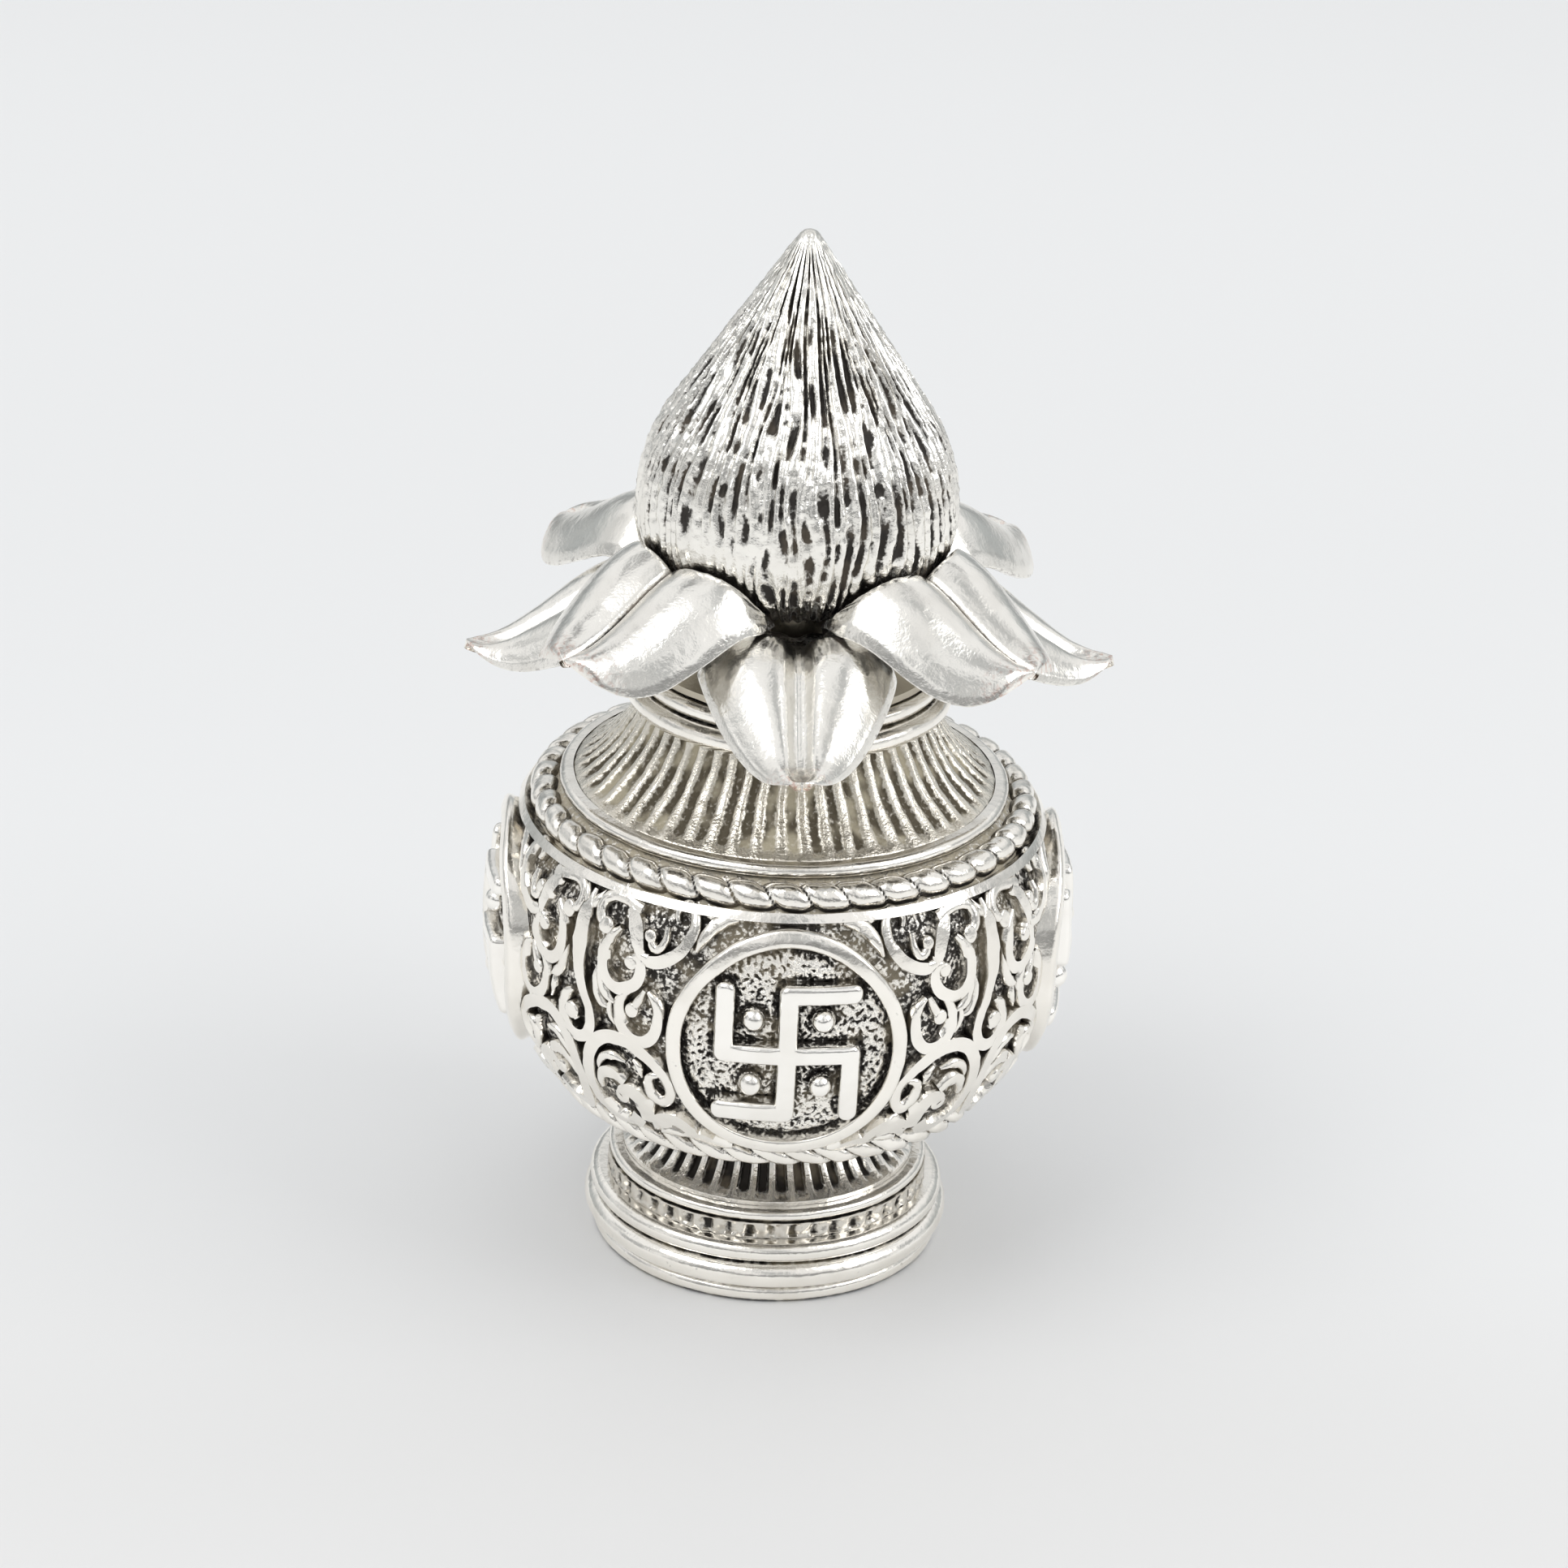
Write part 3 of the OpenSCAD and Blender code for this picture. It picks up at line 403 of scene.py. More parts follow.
# Each scroll is a smooth line through (distance from the panel's middle, height, width); a line starts
# at its curled end, which carries a ball where a radius is given.
HALF_PANEL = [
    # hook under the plain band
    (0.95, [(2.9, 47.9, 0.7), (1.8, 48.6, 0.9), (1.6, 49.9, 0.9), (2.6, 50.7, 0.9), (4.6, 50.8, 0.9),
            (7.0, 50.2, 1.0)]),
    # upper scroll with its leaf
    (0.85, [(6.7, 45.0, 0.6), (7.3, 45.7, 0.9), (8.0, 44.9, 1.1), (7.9, 43.5, 1.2), (6.6, 42.2, 1.2),
            (4.9, 41.8, 1.2), (3.6, 42.7, 1.2), (3.1, 44.8, 1.2), (3.6, 46.8, 1.0), (4.8, 48.2, 0.5)]),
    (0, [(5.6, 50.2, 0.9), (6.7, 48.9, 1.5), (7.4, 47.2, 1.3), (7.9, 45.2, 0.7)]),
    # middle scroll, open at the top
    (0.9, [(7.2, 39.7, 0.8), (8.0, 41.1, 0.8), (8.6, 42.3, 0.5)]),
    (0, [(7.2, 42.1, 0.4), (5.9, 40.9, 0.9), (5.6, 39.0, 1.1), (6.4, 37.1, 1.2), (8.2, 36.3, 1.2),
         (9.8, 37.2, 1.2), (10.4, 39.3, 1.1), (10.0, 41.2, 0.9), (9.0, 42.2, 0.5)]),
    # scroll over the shoulder of the medallion
    (0.75, [(8.7, 48.2, 0.6), (9.0, 47.3, 0.8), (9.8, 47.1, 0.8), (10.4, 48.0, 0.7), (10.5, 49.4, 0.5)]),
    (0, [(7.6, 46.0, 0.8), (9.3, 45.7, 1.2), (11.4, 46.5, 1.2), (13.0, 48.0, 1.1), (13.7, 49.8, 1.0),
         (13.2, 51.2, 0.8), (12.1, 51.5, 0.7), (11.3, 50.9, 0.6), (11.5, 50.1, 0.4)]),
    (0, [(14.2, 47.6, 0.4), (15.0, 49.2, 1.0), (16.6, 50.6, 1.1), (18.6, 51.0, 0.4)]),
    (0, [(13.9, 51.6, 0.4), (15.4, 51.2, 0.8), (17.4, 51.5, 0.4)]),
    # leaf beside the drop
    (0, [(2.5, 44.9, 0.3), (2.9, 42.4, 0.8), (3.7, 40.6, 1.0), (5.0, 39.8, 0.4)]),
    (0, [(4.4, 40.4, 0.3), (4.2, 38.8, 0.7), (4.9, 37.2, 0.3)]),
    # great lower scroll and its eye
    (0, [(10.4, 32.5, 0.5), (9.3, 32.1, 0.8), (9.0, 30.9, 0.9), (9.4, 29.7, 1.0), (10.6, 29.1, 1.0),
         (11.6, 30.1, 1.0), (11.6, 31.9, 1.0), (10.6, 33.4, 1.1), (8.8, 34.9, 1.3), (6.3, 35.9, 1.4),
         (3.8, 35.6, 1.4), (2.0, 33.9, 1.4), (1.0, 31.2, 1.4), (0.8, 28.2, 1.4), (1.6, 25.6, 1.4),
         (3.3, 24.3, 1.4), (5.3, 24.5, 1.4), (6.8, 26.0, 1.6)]),
    (1.0, [(5.1, 28.4, 1.0), (5.9, 29.5, 1.5), (7.2, 29.2, 1.9), (8.0, 27.6, 2.1), (8.0, 25.6, 1.8)]),
    (0, [(2.2, 30.2, 0.3), (2.9, 32.5, 0.8), (4.4, 33.4, 0.9), (6.2, 33.0, 0.3)]),
    (0, [(7.2, 33.6, 0.3), (8.0, 33.0, 0.7), (8.2, 31.6, 0.3)]),
    (0, [(1.9, 28.4, 0.4), (2.6, 30.5, 1.0), (4.2, 31.3, 1.3), (5.8, 30.3, 0.9)]),
    # lobed leaf under the medallion
    (0, [(8.4, 24.4, 0.8), (9.8, 26.2, 1.9), (11.6, 26.6, 2.1), (13.2, 25.6, 1.9), (14.2, 24.2, 1.0)]),
    (0, [(12.4, 24.4, 0.6), (14.6, 24.6, 1.5), (16.6, 23.9, 1.3), (18.4, 23.3, 0.4)]),
    (0, [(8.6, 23.5, 0.4), (10.4, 24.3, 0.8), (12.2, 24.0, 0.4)]),
]
MIDDLE_OF_PANEL = [
    # bud, stem and drop
    (0, [(0.1, 50.6, 0.4), (0.2, 48.4, 1.5), (0.3, 45.4, 1.9), (0.2, 42.8, 1.4), (-0.6, 40.1, 1.1),
         (-1.7, 37.7, 1.1), (-1.6, 35.6, 1.2), (-0.3, 34.5, 1.2), (1.4, 34.9, 1.3), (2.3, 36.6, 1.3),
         (2.1, 38.5, 1.0), (1.2, 39.5, 0.5)]),
    (1.05, [(1.1, 37.0, 1.0), (0.4, 36.1, 0.6)]),
    (0, [(-2.5, 44.0, 0.3), (-2.2, 41.6, 0.8), (-3.0, 39.6, 0.9), (-4.4, 38.9, 0.4)]),
    (0, [(-1.4, 50.9, 0.3), (-0.7, 49.7, 0.8), (0.2, 48.8, 0.5)]),
    (0, [(1.6, 51.0, 0.3), (1.0, 49.8, 0.8), (0.3, 48.8, 0.5)]),
]


def scroll_mesh(bm, ball, line, flip):
    """Adds one raised scroll, drawn flat, x along the belly, y up and z out of it."""
    curve = bpy.data.curves.new("scroll", "CURVE")
    curve.dimensions = "3D"
    curve.bevel_depth = 0.5
    curve.bevel_resolution = 3
    curve.resolution_u = STEPS_PER_KNOT
    curve.use_fill_caps = True
    spline = curve.splines.new("BEZIER")
    spline.bezier_points.add(len(line) - 1)
    for knot, (x, y, width) in zip(spline.bezier_points, line):
        knot.co = (x * flip, y, 0)
        knot.radius = width * FULLNESS
        knot.handle_left_type = knot.handle_right_type = "AUTO"
    holder = bpy.data.objects.new("scroll", curve)
    bpy.context.scene.collection.objects.link(holder)
    mesh = bpy.data.meshes.new_from_object(holder.evaluated_get(bpy.context.evaluated_depsgraph_get()))
    bm.from_mesh(mesh)
    bpy.data.objects.remove(holder)
    bpy.data.curves.remove(curve)
    bpy.data.meshes.remove(mesh)
    if ball:
        x, y, _ = line[0]
        bmesh.ops.create_icosphere(bm, subdivisions=3, radius=ball,
                                   matrix=Matrix.Translation((x * flip, y, 0)))


def on_belly(turn, x, z, out):
    """A point on the belly: turn in radians and x along it give its side, out its height."""
    ground, up = belly_at(z)
    a = turn + x / CREST
    r = ground + out * cos(up)
    return Vector((r * cos(a), r * sin(a), z + out * sin(up)))


def flat_panel(hand):
    """A whole panel drawn flat; hand says which way its drop leans."""
    bm = bmesh.new()
    for flip in (1, -1):
        for ball, line in HALF_PANEL:
            scroll_mesh(bm, ball, line, flip)
    for ball, line in MIDDLE_OF_PANEL:
        scroll_mesh(bm, ball, line, hand)
    return bm


FLAT_PANELS = [flat_panel(1), flat_panel(-1)]
for number in range(4):
    turn = radians(number * 90 - 45)
    bm = FLAT_PANELS[number % 2].copy()
    layer = hollows(bm)
    for v in bm.verts:
        lift = v.co.z * 2.1 + 0.3
        out = PANEL_DEPTH * sin(min(1.0, max(-0.5, lift / 1.5)) * pi / 2)
        v[layer] = max(0.0, min(1.0, 0.8 - out / 0.6))
        v.co = on_belly(turn, v.co.x, v.co.y, out)
    unevenness(bm, 0.12, 1.1)
    piece(bm, f"scroll_relief_{number + 1}", "pot", [f"scroll_panel_{number + 1}"], antique_silver,
          sharp=70)

# ---------------------------------------------------------------- plain band and upper rope
# A flat wire of plated brass closes the scrolls at the top, bent round the belly and soldered on. The
# upper twisted wire lies over it, on the shoulder.

HIGH_GROUND = HIGH - RELIEF
band_top = 47.5 - degrees(1.6 / HIGH_GROUND)
band_low = band_top - degrees(1.4 / HIGH)
inner = arc(*HIGH_AT, HIGH_GROUND + 0.02, band_low, band_top, 6)
outer = arc(*HIGH_AT, HIGH, band_top - 0.8, band_low + 0.8, 8)
turned = lathe(inner + outer, 360)
unevenness(turned, 0.06, 3)
piece(turned, "plain_band", "pot", ["border_band"], bright_silver, sharp=50)
rope("upper_rope", "upper_twisted_wire", HIGH_AT, HIGH_GROUND + 0.25, 48.5, 1.6, 42, 1)

# ---------------------------------------------------------------- medallions
# Each medallion is a flat ring round a plate that is roughened with a punch and blackened, with the
# auspicious sign and its four studs cast on, their faces mopped bright.

MEDAL_Z = 37.6
MEDAL_R = 12.9
RING_WIDE = 1.6
RING_HIGH = 2.2
PLATE = 0.7


def on_medallion(turn, x, y, out):
    """A point of a medallion: x to its right, y above its middle and out from the ground."""
    ground, up = belly_at(MEDAL_Z + y)
    r = ground + out * cos(up)
    deep = sqrt(max(1.0, r * r - x * x))
    return Vector((deep * cos(turn) - x * sin(turn), deep * sin(turn) + x * cos(turn),
                   MEDAL_Z + y + out * sin(up)))


def curve_to_belly(bm, turn, lift=0.0):
    """Lays a flat drawing, x right, y up and z out, on the belly at a medallion's place."""
    for v in bm.verts:
        v.co = on_medallion(turn, v.co.x, v.co.y, v.co.z + lift)
    bmesh.ops.recalc_face_normals(bm, faces=bm.faces)


def ring_section():
    """Across the ring: upright sides, softened edges and a nearly flat face."""
    soft = 0.45
    inside = MEDAL_R - RING_WIDE
    return ([(inside, 0.02)] + arc(inside + soft, RING_HIGH - soft, soft, 180, 90, 5)
            + arc(MEDAL_R - soft, RING_HIGH - soft, soft, 90, 0, 5) + [(MEDAL_R, 0.02)])


HALF_BAR, ARM = 1.05, 6.8
SIGN_HIGH = 1.9
STUD_AT, STUD_R = 3.75, 1.3
STUD_MID, STUD_HIGH = 0.6, 1.35
SORT_ALONG = Vector((1, 7.31, 53.9))
HALO = 0.75


def to_sign(x, y):
    """How far a point of the plate is from the foot of the sign or of a stud."""
    outer = ARM + HALF_BAR
    bars = [(0, 0, HALF_BAR, outer), (0, 0, outer, HALF_BAR)]
    for turn in range(4):
        a = turn * pi / 2
        cx, cy = ARM * cos(a) - ARM / 2 * sin(a), ARM * sin(a) + ARM / 2 * cos(a)
        along = (HALF_BAR, ARM / 2 + HALF_BAR)
        bars.append((cx, -cy, *(along if turn % 2 == 0 else along[::-1])))
    near = [hypot(max(0.0, abs(x - cx) - w), max(0.0, abs(y - cy) - h)) for cx, cy, w, h in bars]
    return min(near + [hypot(abs(x) - STUD_AT, abs(y) - STUD_AT) - STUD_R])


def put_in_order(bm):
    """Builds a mesh again sorted by place, because a bevel leaves it in an order that changes each run."""
    bm.verts.sort(key=lambda v: v.co.dot(SORT_ALONG))
    bm.verts.index_update()
    points = [v.co.copy() for v in bm.verts]
    rings = []
    for face in bm.faces:
        ring = [v.index for v in face.verts]
        # A quad turns by two corners or not at all, so that its diagonal stays.
        first = min(range(0, len(ring), 2 if len(ring) == 4 else 1), key=ring.__getitem__)
        rings.append(ring[first:] + ring[:first])
    bm.clear()
    corners = [bm.verts.new(point) for point in points]
    for ring in sorted(rings):
        bm.faces.new([corners[index] for index in ring])


def crossing(bm):
    """The sign: bars on a lattice, drawn from flat cells, raised and softened at the edges."""
    marks = [-ARM - HALF_BAR, -ARM + HALF_BAR, -HALF_BAR, HALF_BAR, ARM - HALF_BAR, ARM + HALF_BAR]
    cells = ["11101", "00101", "11111", "10100", "10111"]
    bmesh.ops.create_grid(bm, x_segments=5, y_segments=5, size=1)
    for v in bm.verts:
        v.co.x = marks[round((v.co.x + 1) * 2.5)]
        v.co.y = marks[round((v.co.y + 1) * 2.5)]
    spare = []
    for face in bm.faces:
        middle = face.calc_center_median()
        column = sum(middle.x > m for m in marks) - 1
        row = sum(middle.y > m for m in marks) - 1
        if cells[row][column] == "0":
            spare.append(face)
    bmesh.ops.delete(bm, geom=spare, context="FACES")
    lifted = bmesh.ops.extrude_face_region(bm, geom=bm.faces[:])["geom"]
    tops = [g for g in lifted if isinstance(g, bmesh.types.BMVert)]
    for v in tops:
        v.co.z = SIGN_HIGH
    bmesh.ops.recalc_face_normals(bm, faces=bm.faces)
    upright = [e for e in bm.edges if abs(e.verts[0].co.z - e.verts[1].co.z) > 1
               and len(e.link_faces) == 2 and abs(e.calc_face_angle_signed() - pi / 2) < 0.1]
    bmesh.ops.bevel(bm, geom=upright, offset=0.95, affect="EDGES", segments=6, profile=0.5, material=-1)
    rims = [e for e in bm.edges if len(e.link_faces) == 2 and e.calc_face_angle() > 1
            and all(v.co.z > SIGN_HIGH - 0.1 for v in e.verts)]
    bmesh.ops.bevel(bm, geom=rims, offset=0.6, affect="EDGES", segments=5, profile=0.5, material=-1)
    long_edges = [e for e in bm.edges if e.calc_length() > 0.9]
    bmesh.ops.subdivide_edges(bm, edges=long_edges, cuts=3, use_grid_fill=True)
    bmesh.ops.triangulate(bm, faces=[f for f in bm.faces if len(f.verts) > 4])
    put_in_order(bm)


def studs(bm):
    """Four domed studs between the arms, each sunk in the plate to its waist."""
    dome = [(STUD_R * x, STUD_MID + STUD_HIGH * z) for x, z in arc(0, 0, 1, -90, 90, 16)]
    for x in (-STUD_AT, STUD_AT):
        for y in (-STUD_AT, STUD_AT):
            stud = lathe(dome, 24, closed=False)
            bmesh.ops.translate(stud, vec=(x, y, 0), verts=stud.verts)
            mesh = bpy.data.meshes.new("stud")
            stud.to_mesh(mesh)
            stud.free()
            bm.from_mesh(mesh)
            bpy.data.meshes.remove(mesh)


# Electroplate polished by hand: the whitest and smoothest faces of the pot.
symbol_silver = plated_silver("sign_silver_plate", bright="#f4f2ee", gloss=0.1, pits=0.25)
for number in range(4):
    turn = radians(number * 90 - 90)
    ring = lathe(even(ring_section(), 0.5), 240)
    curve_to_belly(ring, turn)
    unevenness(ring, 0.06, 2.5)
    piece(ring, f"medallion_rim_{number + 1}", "pot", [f"medallion_ring_{number + 1}"], bright_silver,
          sharp=60)

    disc_r = MEDAL_R - RING_WIDE - 0.02
    plate = lathe(even([(0, 0.4), (disc_r, 0.4)], 0.16), 330, closed=False)
    layer = hollows(plate)
    for v in plate.verts:
        at = Vector((v.co.x, v.co.y, number * 9))
        pit = max(0.0, noise.noise(at / 0.42) + 0.5 * noise.noise(at / 0.95))
        gap = min(to_sign(v.co.x, v.co.y), disc_r - hypot(v.co.x, v.co.y))
        halo = max(0.0, 1 - max(0.0, gap) / HALO)
        v[layer] = max(0.0, min(1.0, 0.15 + 1.7 * pit + 0.75 * halo))
        v.co.z += 0.5 - 0.9 * min(0.5, pit) - 0.3 * halo
    curve_to_belly(plate, turn)
    piece(plate, f"punched_plate_{number + 1}", "pot", [f"medallion_plate_{number + 1}"], stippled_silver,
          sharp=80)

    sign = bmesh.new()
    crossing(sign)
    studs(sign)
    curve_to_belly(sign, turn, PLATE)
    unevenness(sign, 0.04, 1.5)
    piece(sign, f"raised_sign_{number + 1}", "pot", [f"medallion_symbol_{number + 1}"], symbol_silver,
          sharp=50)

# ---------------------------------------------------------------- shoulder bead and ribbed neck
# A half-round wire covers the seam of bowl and neck. The neck is pressed with some fifty ribs whose
# hollows hold a khaki stain of old polish.

neck_r, neck_z, neck_top = extent("fluted_neck")
half_round("shoulder_bead", "shoulder_wire", neck_r, steps=14, cut=10, around=300, wave=0.08, wave_size=4)

RIBS = 54
RIB_HIGH = 0.5
NECK_FLARE = 19.0
NECK_TOP = 15.9
NECK_EDGE = 1.4
MOUTH_R = 13.4
wall = arc_between((neck_r, neck_z + NECK_EDGE), (NECK_TOP, neck_top), NECK_FLARE, 36)
section = ([(neck_r - WALL, neck_z), (neck_r, neck_z)] + wall
           + [(MOUTH_R, neck_top), (MOUTH_R, neck_top - WALL)])
turned = lathe(even(section, 0.8), RIBS * 14)
cut_flutes(turned, RIBS, RIB_HIGH, neck_z + NECK_EDGE + 0.2, neck_top - 0.2, flank=0.2, floor_width=0.3,
           seed=5, sway=0.0022)
unevenness(turned, 0.1, 1.4)
# Electroplate with dried polish left in its hollows: a warm khaki dullness between paler ribs.
khaki_silver = plated_silver("stained_silver_plate", bright="#e4dfd4", dark="#5a5242", stain="#b9b19c",
                             reach=0.78, pits=0.9, gloss=0.2, grit=0.1, speckle=1.2)
piece(turned, "ribbed_neck", "pot", ["fluted_neck"], khaki_silver, sharp=60)

# ---------------------------------------------------------------- rim wires
# Two half-round wires of plated brass finish the mouth. They are bent to rings and soldered one over the
# other, and the blackening stays in the line between them.

for node, name in (("rim_lower_bead", "rim_wire_lower"), ("rim_upper_bead", "rim_wire_upper")):
    half_round(node, name, MOUTH_R, around=240, wave=0.07, wave_size=5)

# ---------------------------------------------------------------- crown collar and hub
# The leaves stand on a spun collar with a spigot that drops into the mouth. Under the leaves the collar
# is drawn in a darker, duller, stained plate; its darker colour is painted shade for the leaves' shadow.

radius, spigot_low, hub_low = extent("crown_collar")
hub_r, _, hub_top = extent("crown_hub")
COLLAR_Z = neck_top + 4.7
COLLAR_WALL = 1.2
SPIGOT = MOUTH_R - 0.2
HUB_BORE = 4.7
section = [(SPIGOT - COLLAR_WALL, spigot_low), (SPIGOT, spigot_low), (SPIGOT, COLLAR_Z), (radius, COLLAR_Z),
           (radius, COLLAR_Z + 0.8), (8.6, hub_low), (HUB_BORE, hub_low), (HUB_BORE, hub_low - 1.4),
           (7.6, hub_low - 1.4), (SPIGOT - COLLAR_WALL, COLLAR_Z)]
turned = lathe(even(section, 0.8), ROUND)
unevenness(turned, 0.12, 3)
# Unpolished plate, its darker colour painted shade for the shadow under the leaves: a flat grey-brown
# sheen.
dull_silver = plated_silver("dull_silver_plate", bright="#b5ae9f", dark="#4a4438", stain="#8d8672",
                            crevice=3.0, gloss=0.35, pits=0.8)
piece(turned, "spun_collar", "leaf_crown", ["crown_collar"], dull_silver, sharp=35)

hub_foot = hub_low + 0.02
hub = lathe(even([(HUB_BORE, hub_foot), (hub_r, hub_foot), (hub_r, hub_top), (HUB_BORE, hub_top)], 1.0), 96)
rims = [e for e in hub.edges if e.calc_face_angle() > 0.6]
bmesh.ops.bevel(hub, geom=rims, offset=0.2, affect="EDGES", segments=2, profile=0.5, material=-1)
piece(hub, "leaf_boss", "leaf_crown", ["crown_hub"], dull_silver, sharp=30)

# ---------------------------------------------------------------- leaves
# Eight mango leaves are stamped from sheet: two full lobes, a fine midrib in the fold and a turned rim.
# Plating has worn to copper at the tips, and black stays at the roots.

LEAF_GRID = 64
LEAF_ROOT = 2.0
LEAF_SHEET = 1.0
SHOULDER_AT = 0.32
PUFF = 2.6
TIP_FROM, TIP_SPAN = 0.96, 0.0415
LOWER_LEAF = {"root_z": hub_low + LEAF_SHEET + 0.1, "reach": 35.2, "half": 10.6, "rise": 1.7, "fall": 7.3,
              "turn_down": 2.7, "curl": 1.1}
UPPER_LEAF = {"root_z": hub_top - 0.1, "reach": 32.4, "half": 11.2, "rise": 6.0, "fall": 6.2,
              "turn_down": 3.3, "curl": 1.1 / 3}
# The upper leaves give way to the coconut, whose underside is an arc of this radius and middle.
LOW_ROUND = 10.0
UNDER_COCONUT = LOW_ROUND + 0.4
coco_r, coco_low, coco_top = extent("coconut_shell")
low_x, mid_z = coco_r - LOW_ROUND, coco_low + LOW_ROUND


def leaf_width(form, s):
    """Half width along a leaf: a round shoulder, then a pointed lower or a blunt upper tip."""
    u = (s - SHOULDER_AT) / (1 - SHOULDER_AT)
    if u < 0:
        shape = sqrt(1 - (1 - s / SHOULDER_AT) ** 1.7)
    else:
        shape = 1 - u ** 1.8 if form is LOWER_LEAF else sqrt(max(0.0, 1 - u ** 3))
    return LEAF_ROOT * (1 - s) + (form["half"] - LEAF_ROOT) * shape + LEAF_SHEET * (0.5 + 0.5 * s)


def leaf_height(form, s, t, y, half):
    """Height of a leaf's upper face over its root and how deep its midrib's groove is; t is y by half."""
    lower = form is LOWER_LEAF
    taper = (1 - s ** 3) ** 0.8 if lower else (1 - s ** 5) ** 0.6
    full = sin(pi / 2 * min(1.0, s / 0.3)) ** 0.6 * taper
    lobe = max(0.0, sin(pi * abs(t) ** 0.8)) ** 0.65
    down = max(0.0, min(1.0, (s - SHOULDER_AT) / 0.62))
    z = (form["root_z"] + form["rise"] * sin(pi / 2 * min(1, s / SHOULDER_AT))
         - form["fall"] * down * down * (3 - 2 * down) + form["curl"] * max(0.0, (s - 0.8) / 0.2) ** 2)
    fold = 0.18 * exp(-((abs(y) - 0.5) / 0.25) ** 2) * full
    rib = groove = 0.0
    if lower:
        lobe *= 1 - exp(-y * y)
        rib = 0.4 * exp(-(y / 0.35) ** 2) * full
    else:
        groove = 0.9 * min(1.0, 2 * s) * exp(-(y / 0.3) ** 2) * full
    lip = 0.25 * exp(-((abs(t) - 0.95) / 0.03) ** 2) * min(1.0, 3 * s) * max(0.0, 1 - 1.3 * s ** 6)
    turned = form["turn_down"] * min(4 * s, half / LOWER_LEAF["half"]) * t ** 4
    return z + (PUFF * full * lobe + fold + rib + lip - turned), groove


def leaf(name, node, form, side):
    """One leaf, drawn along +X and turned to its side: up from its root, down, and up at the tip."""
    root = hub_r + 0.02
    bm = bmesh.new()
    bmesh.ops.create_grid(bm, x_segments=LEAF_GRID, y_segments=LEAF_GRID, size=1)
    edge = bm.verts.layers.float.new("edge")
    layer = hollows(bm)
    for v in bm.verts:
        s = (1 - cos(pi * ((v.co.x + 1) / 2) ** 0.9)) / 2
        t = sin(pi / 2 * copysign(abs(v.co.y) ** 1.35, v.co.y))
        x = root + (form["reach"] - root) * s
        half = leaf_width(form, s) * sqrt(1 - max(0.0, (s - TIP_FROM) / TIP_SPAN) ** 2)
        y = half * t
        z, groove = leaf_height(form, s, t, y, half)
        r = hypot(x, y)
        if form is LOWER_LEAF:
            z = min(z, hub_top - LEAF_SHEET - 0.2 + max(0.0, r - 1.7 * hub_r))
        elif r - low_x < UNDER_COCONUT:
            z = min(z, mid_z - sqrt(UNDER_COCONUT ** 2 - max(0.0, r - low_x) ** 2))
        v[edge] = max(0.0, min(1.0, (s - 0.86) / 0.1))
        smoke = max(0.0, 1 - s / 0.4) * (0.5 + noise.noise(Vector((x, y, side)) / 2))
        v[layer] = (0.75 * max(0.0, 1 - s / 0.16) + 0.5 * max(0.0, smoke) + groove
                    + 0.35 * max(0.0, (abs(t) - 0.93) / 0.07) * (1 - v[edge]))
        v.co = Vector((x, y, z))
        v.co.z += 0.15 * noise.noise(v.co / 5) + 0.06 * noise.noise(v.co / 1.3)
    bmesh.ops.rotate(bm, verts=bm.verts, cent=(0, 0, 0), matrix=Matrix.Rotation(radians(side), 3, "Z"))
    made = piece(bm, name, "leaf_crown", [node], leaf_silver, sharp=180)
    skin = made.modifiers.new("sheet", "SOLIDIFY")
    skin.thickness = LEAF_SHEET * MM
    skin.offset = -1
    soft = made.modifiers.new("soft", "SUBSURF")
    soft.levels = soft.render_levels = 1


# Electroplate over stamped sheet: soft broad reflections, smoky at the root, pink copper at the tip.
leaf_silver = plated_silver("leaf_silver_plate", bright="#eeece7", gloss=0.15, crevice=1.5, pits=0.5,
                            copper=0.6, stain="#8c8379")
for number in range(4):
    leaf(f"lower_mango_leaf_{number + 1}", f"lower_leaf_{number + 1}", LOWER_LEAF, number * 90 - 90)
    across = number * 90 - 40 if number % 2 == 0 else number * 90 - 50
    leaf(f"upper_mango_leaf_{number + 1}", f"upper_leaf_{number + 1}", UPPER_LEAF, across)

# ---------------------------------------------------------------- coconut
# The coconut is a hollow casting with a fibrous husk: upright furrows broken by the chaser's tool, black
# inside, and a patch low on its left where handling has rubbed them flat. A peg holds it in the hub.

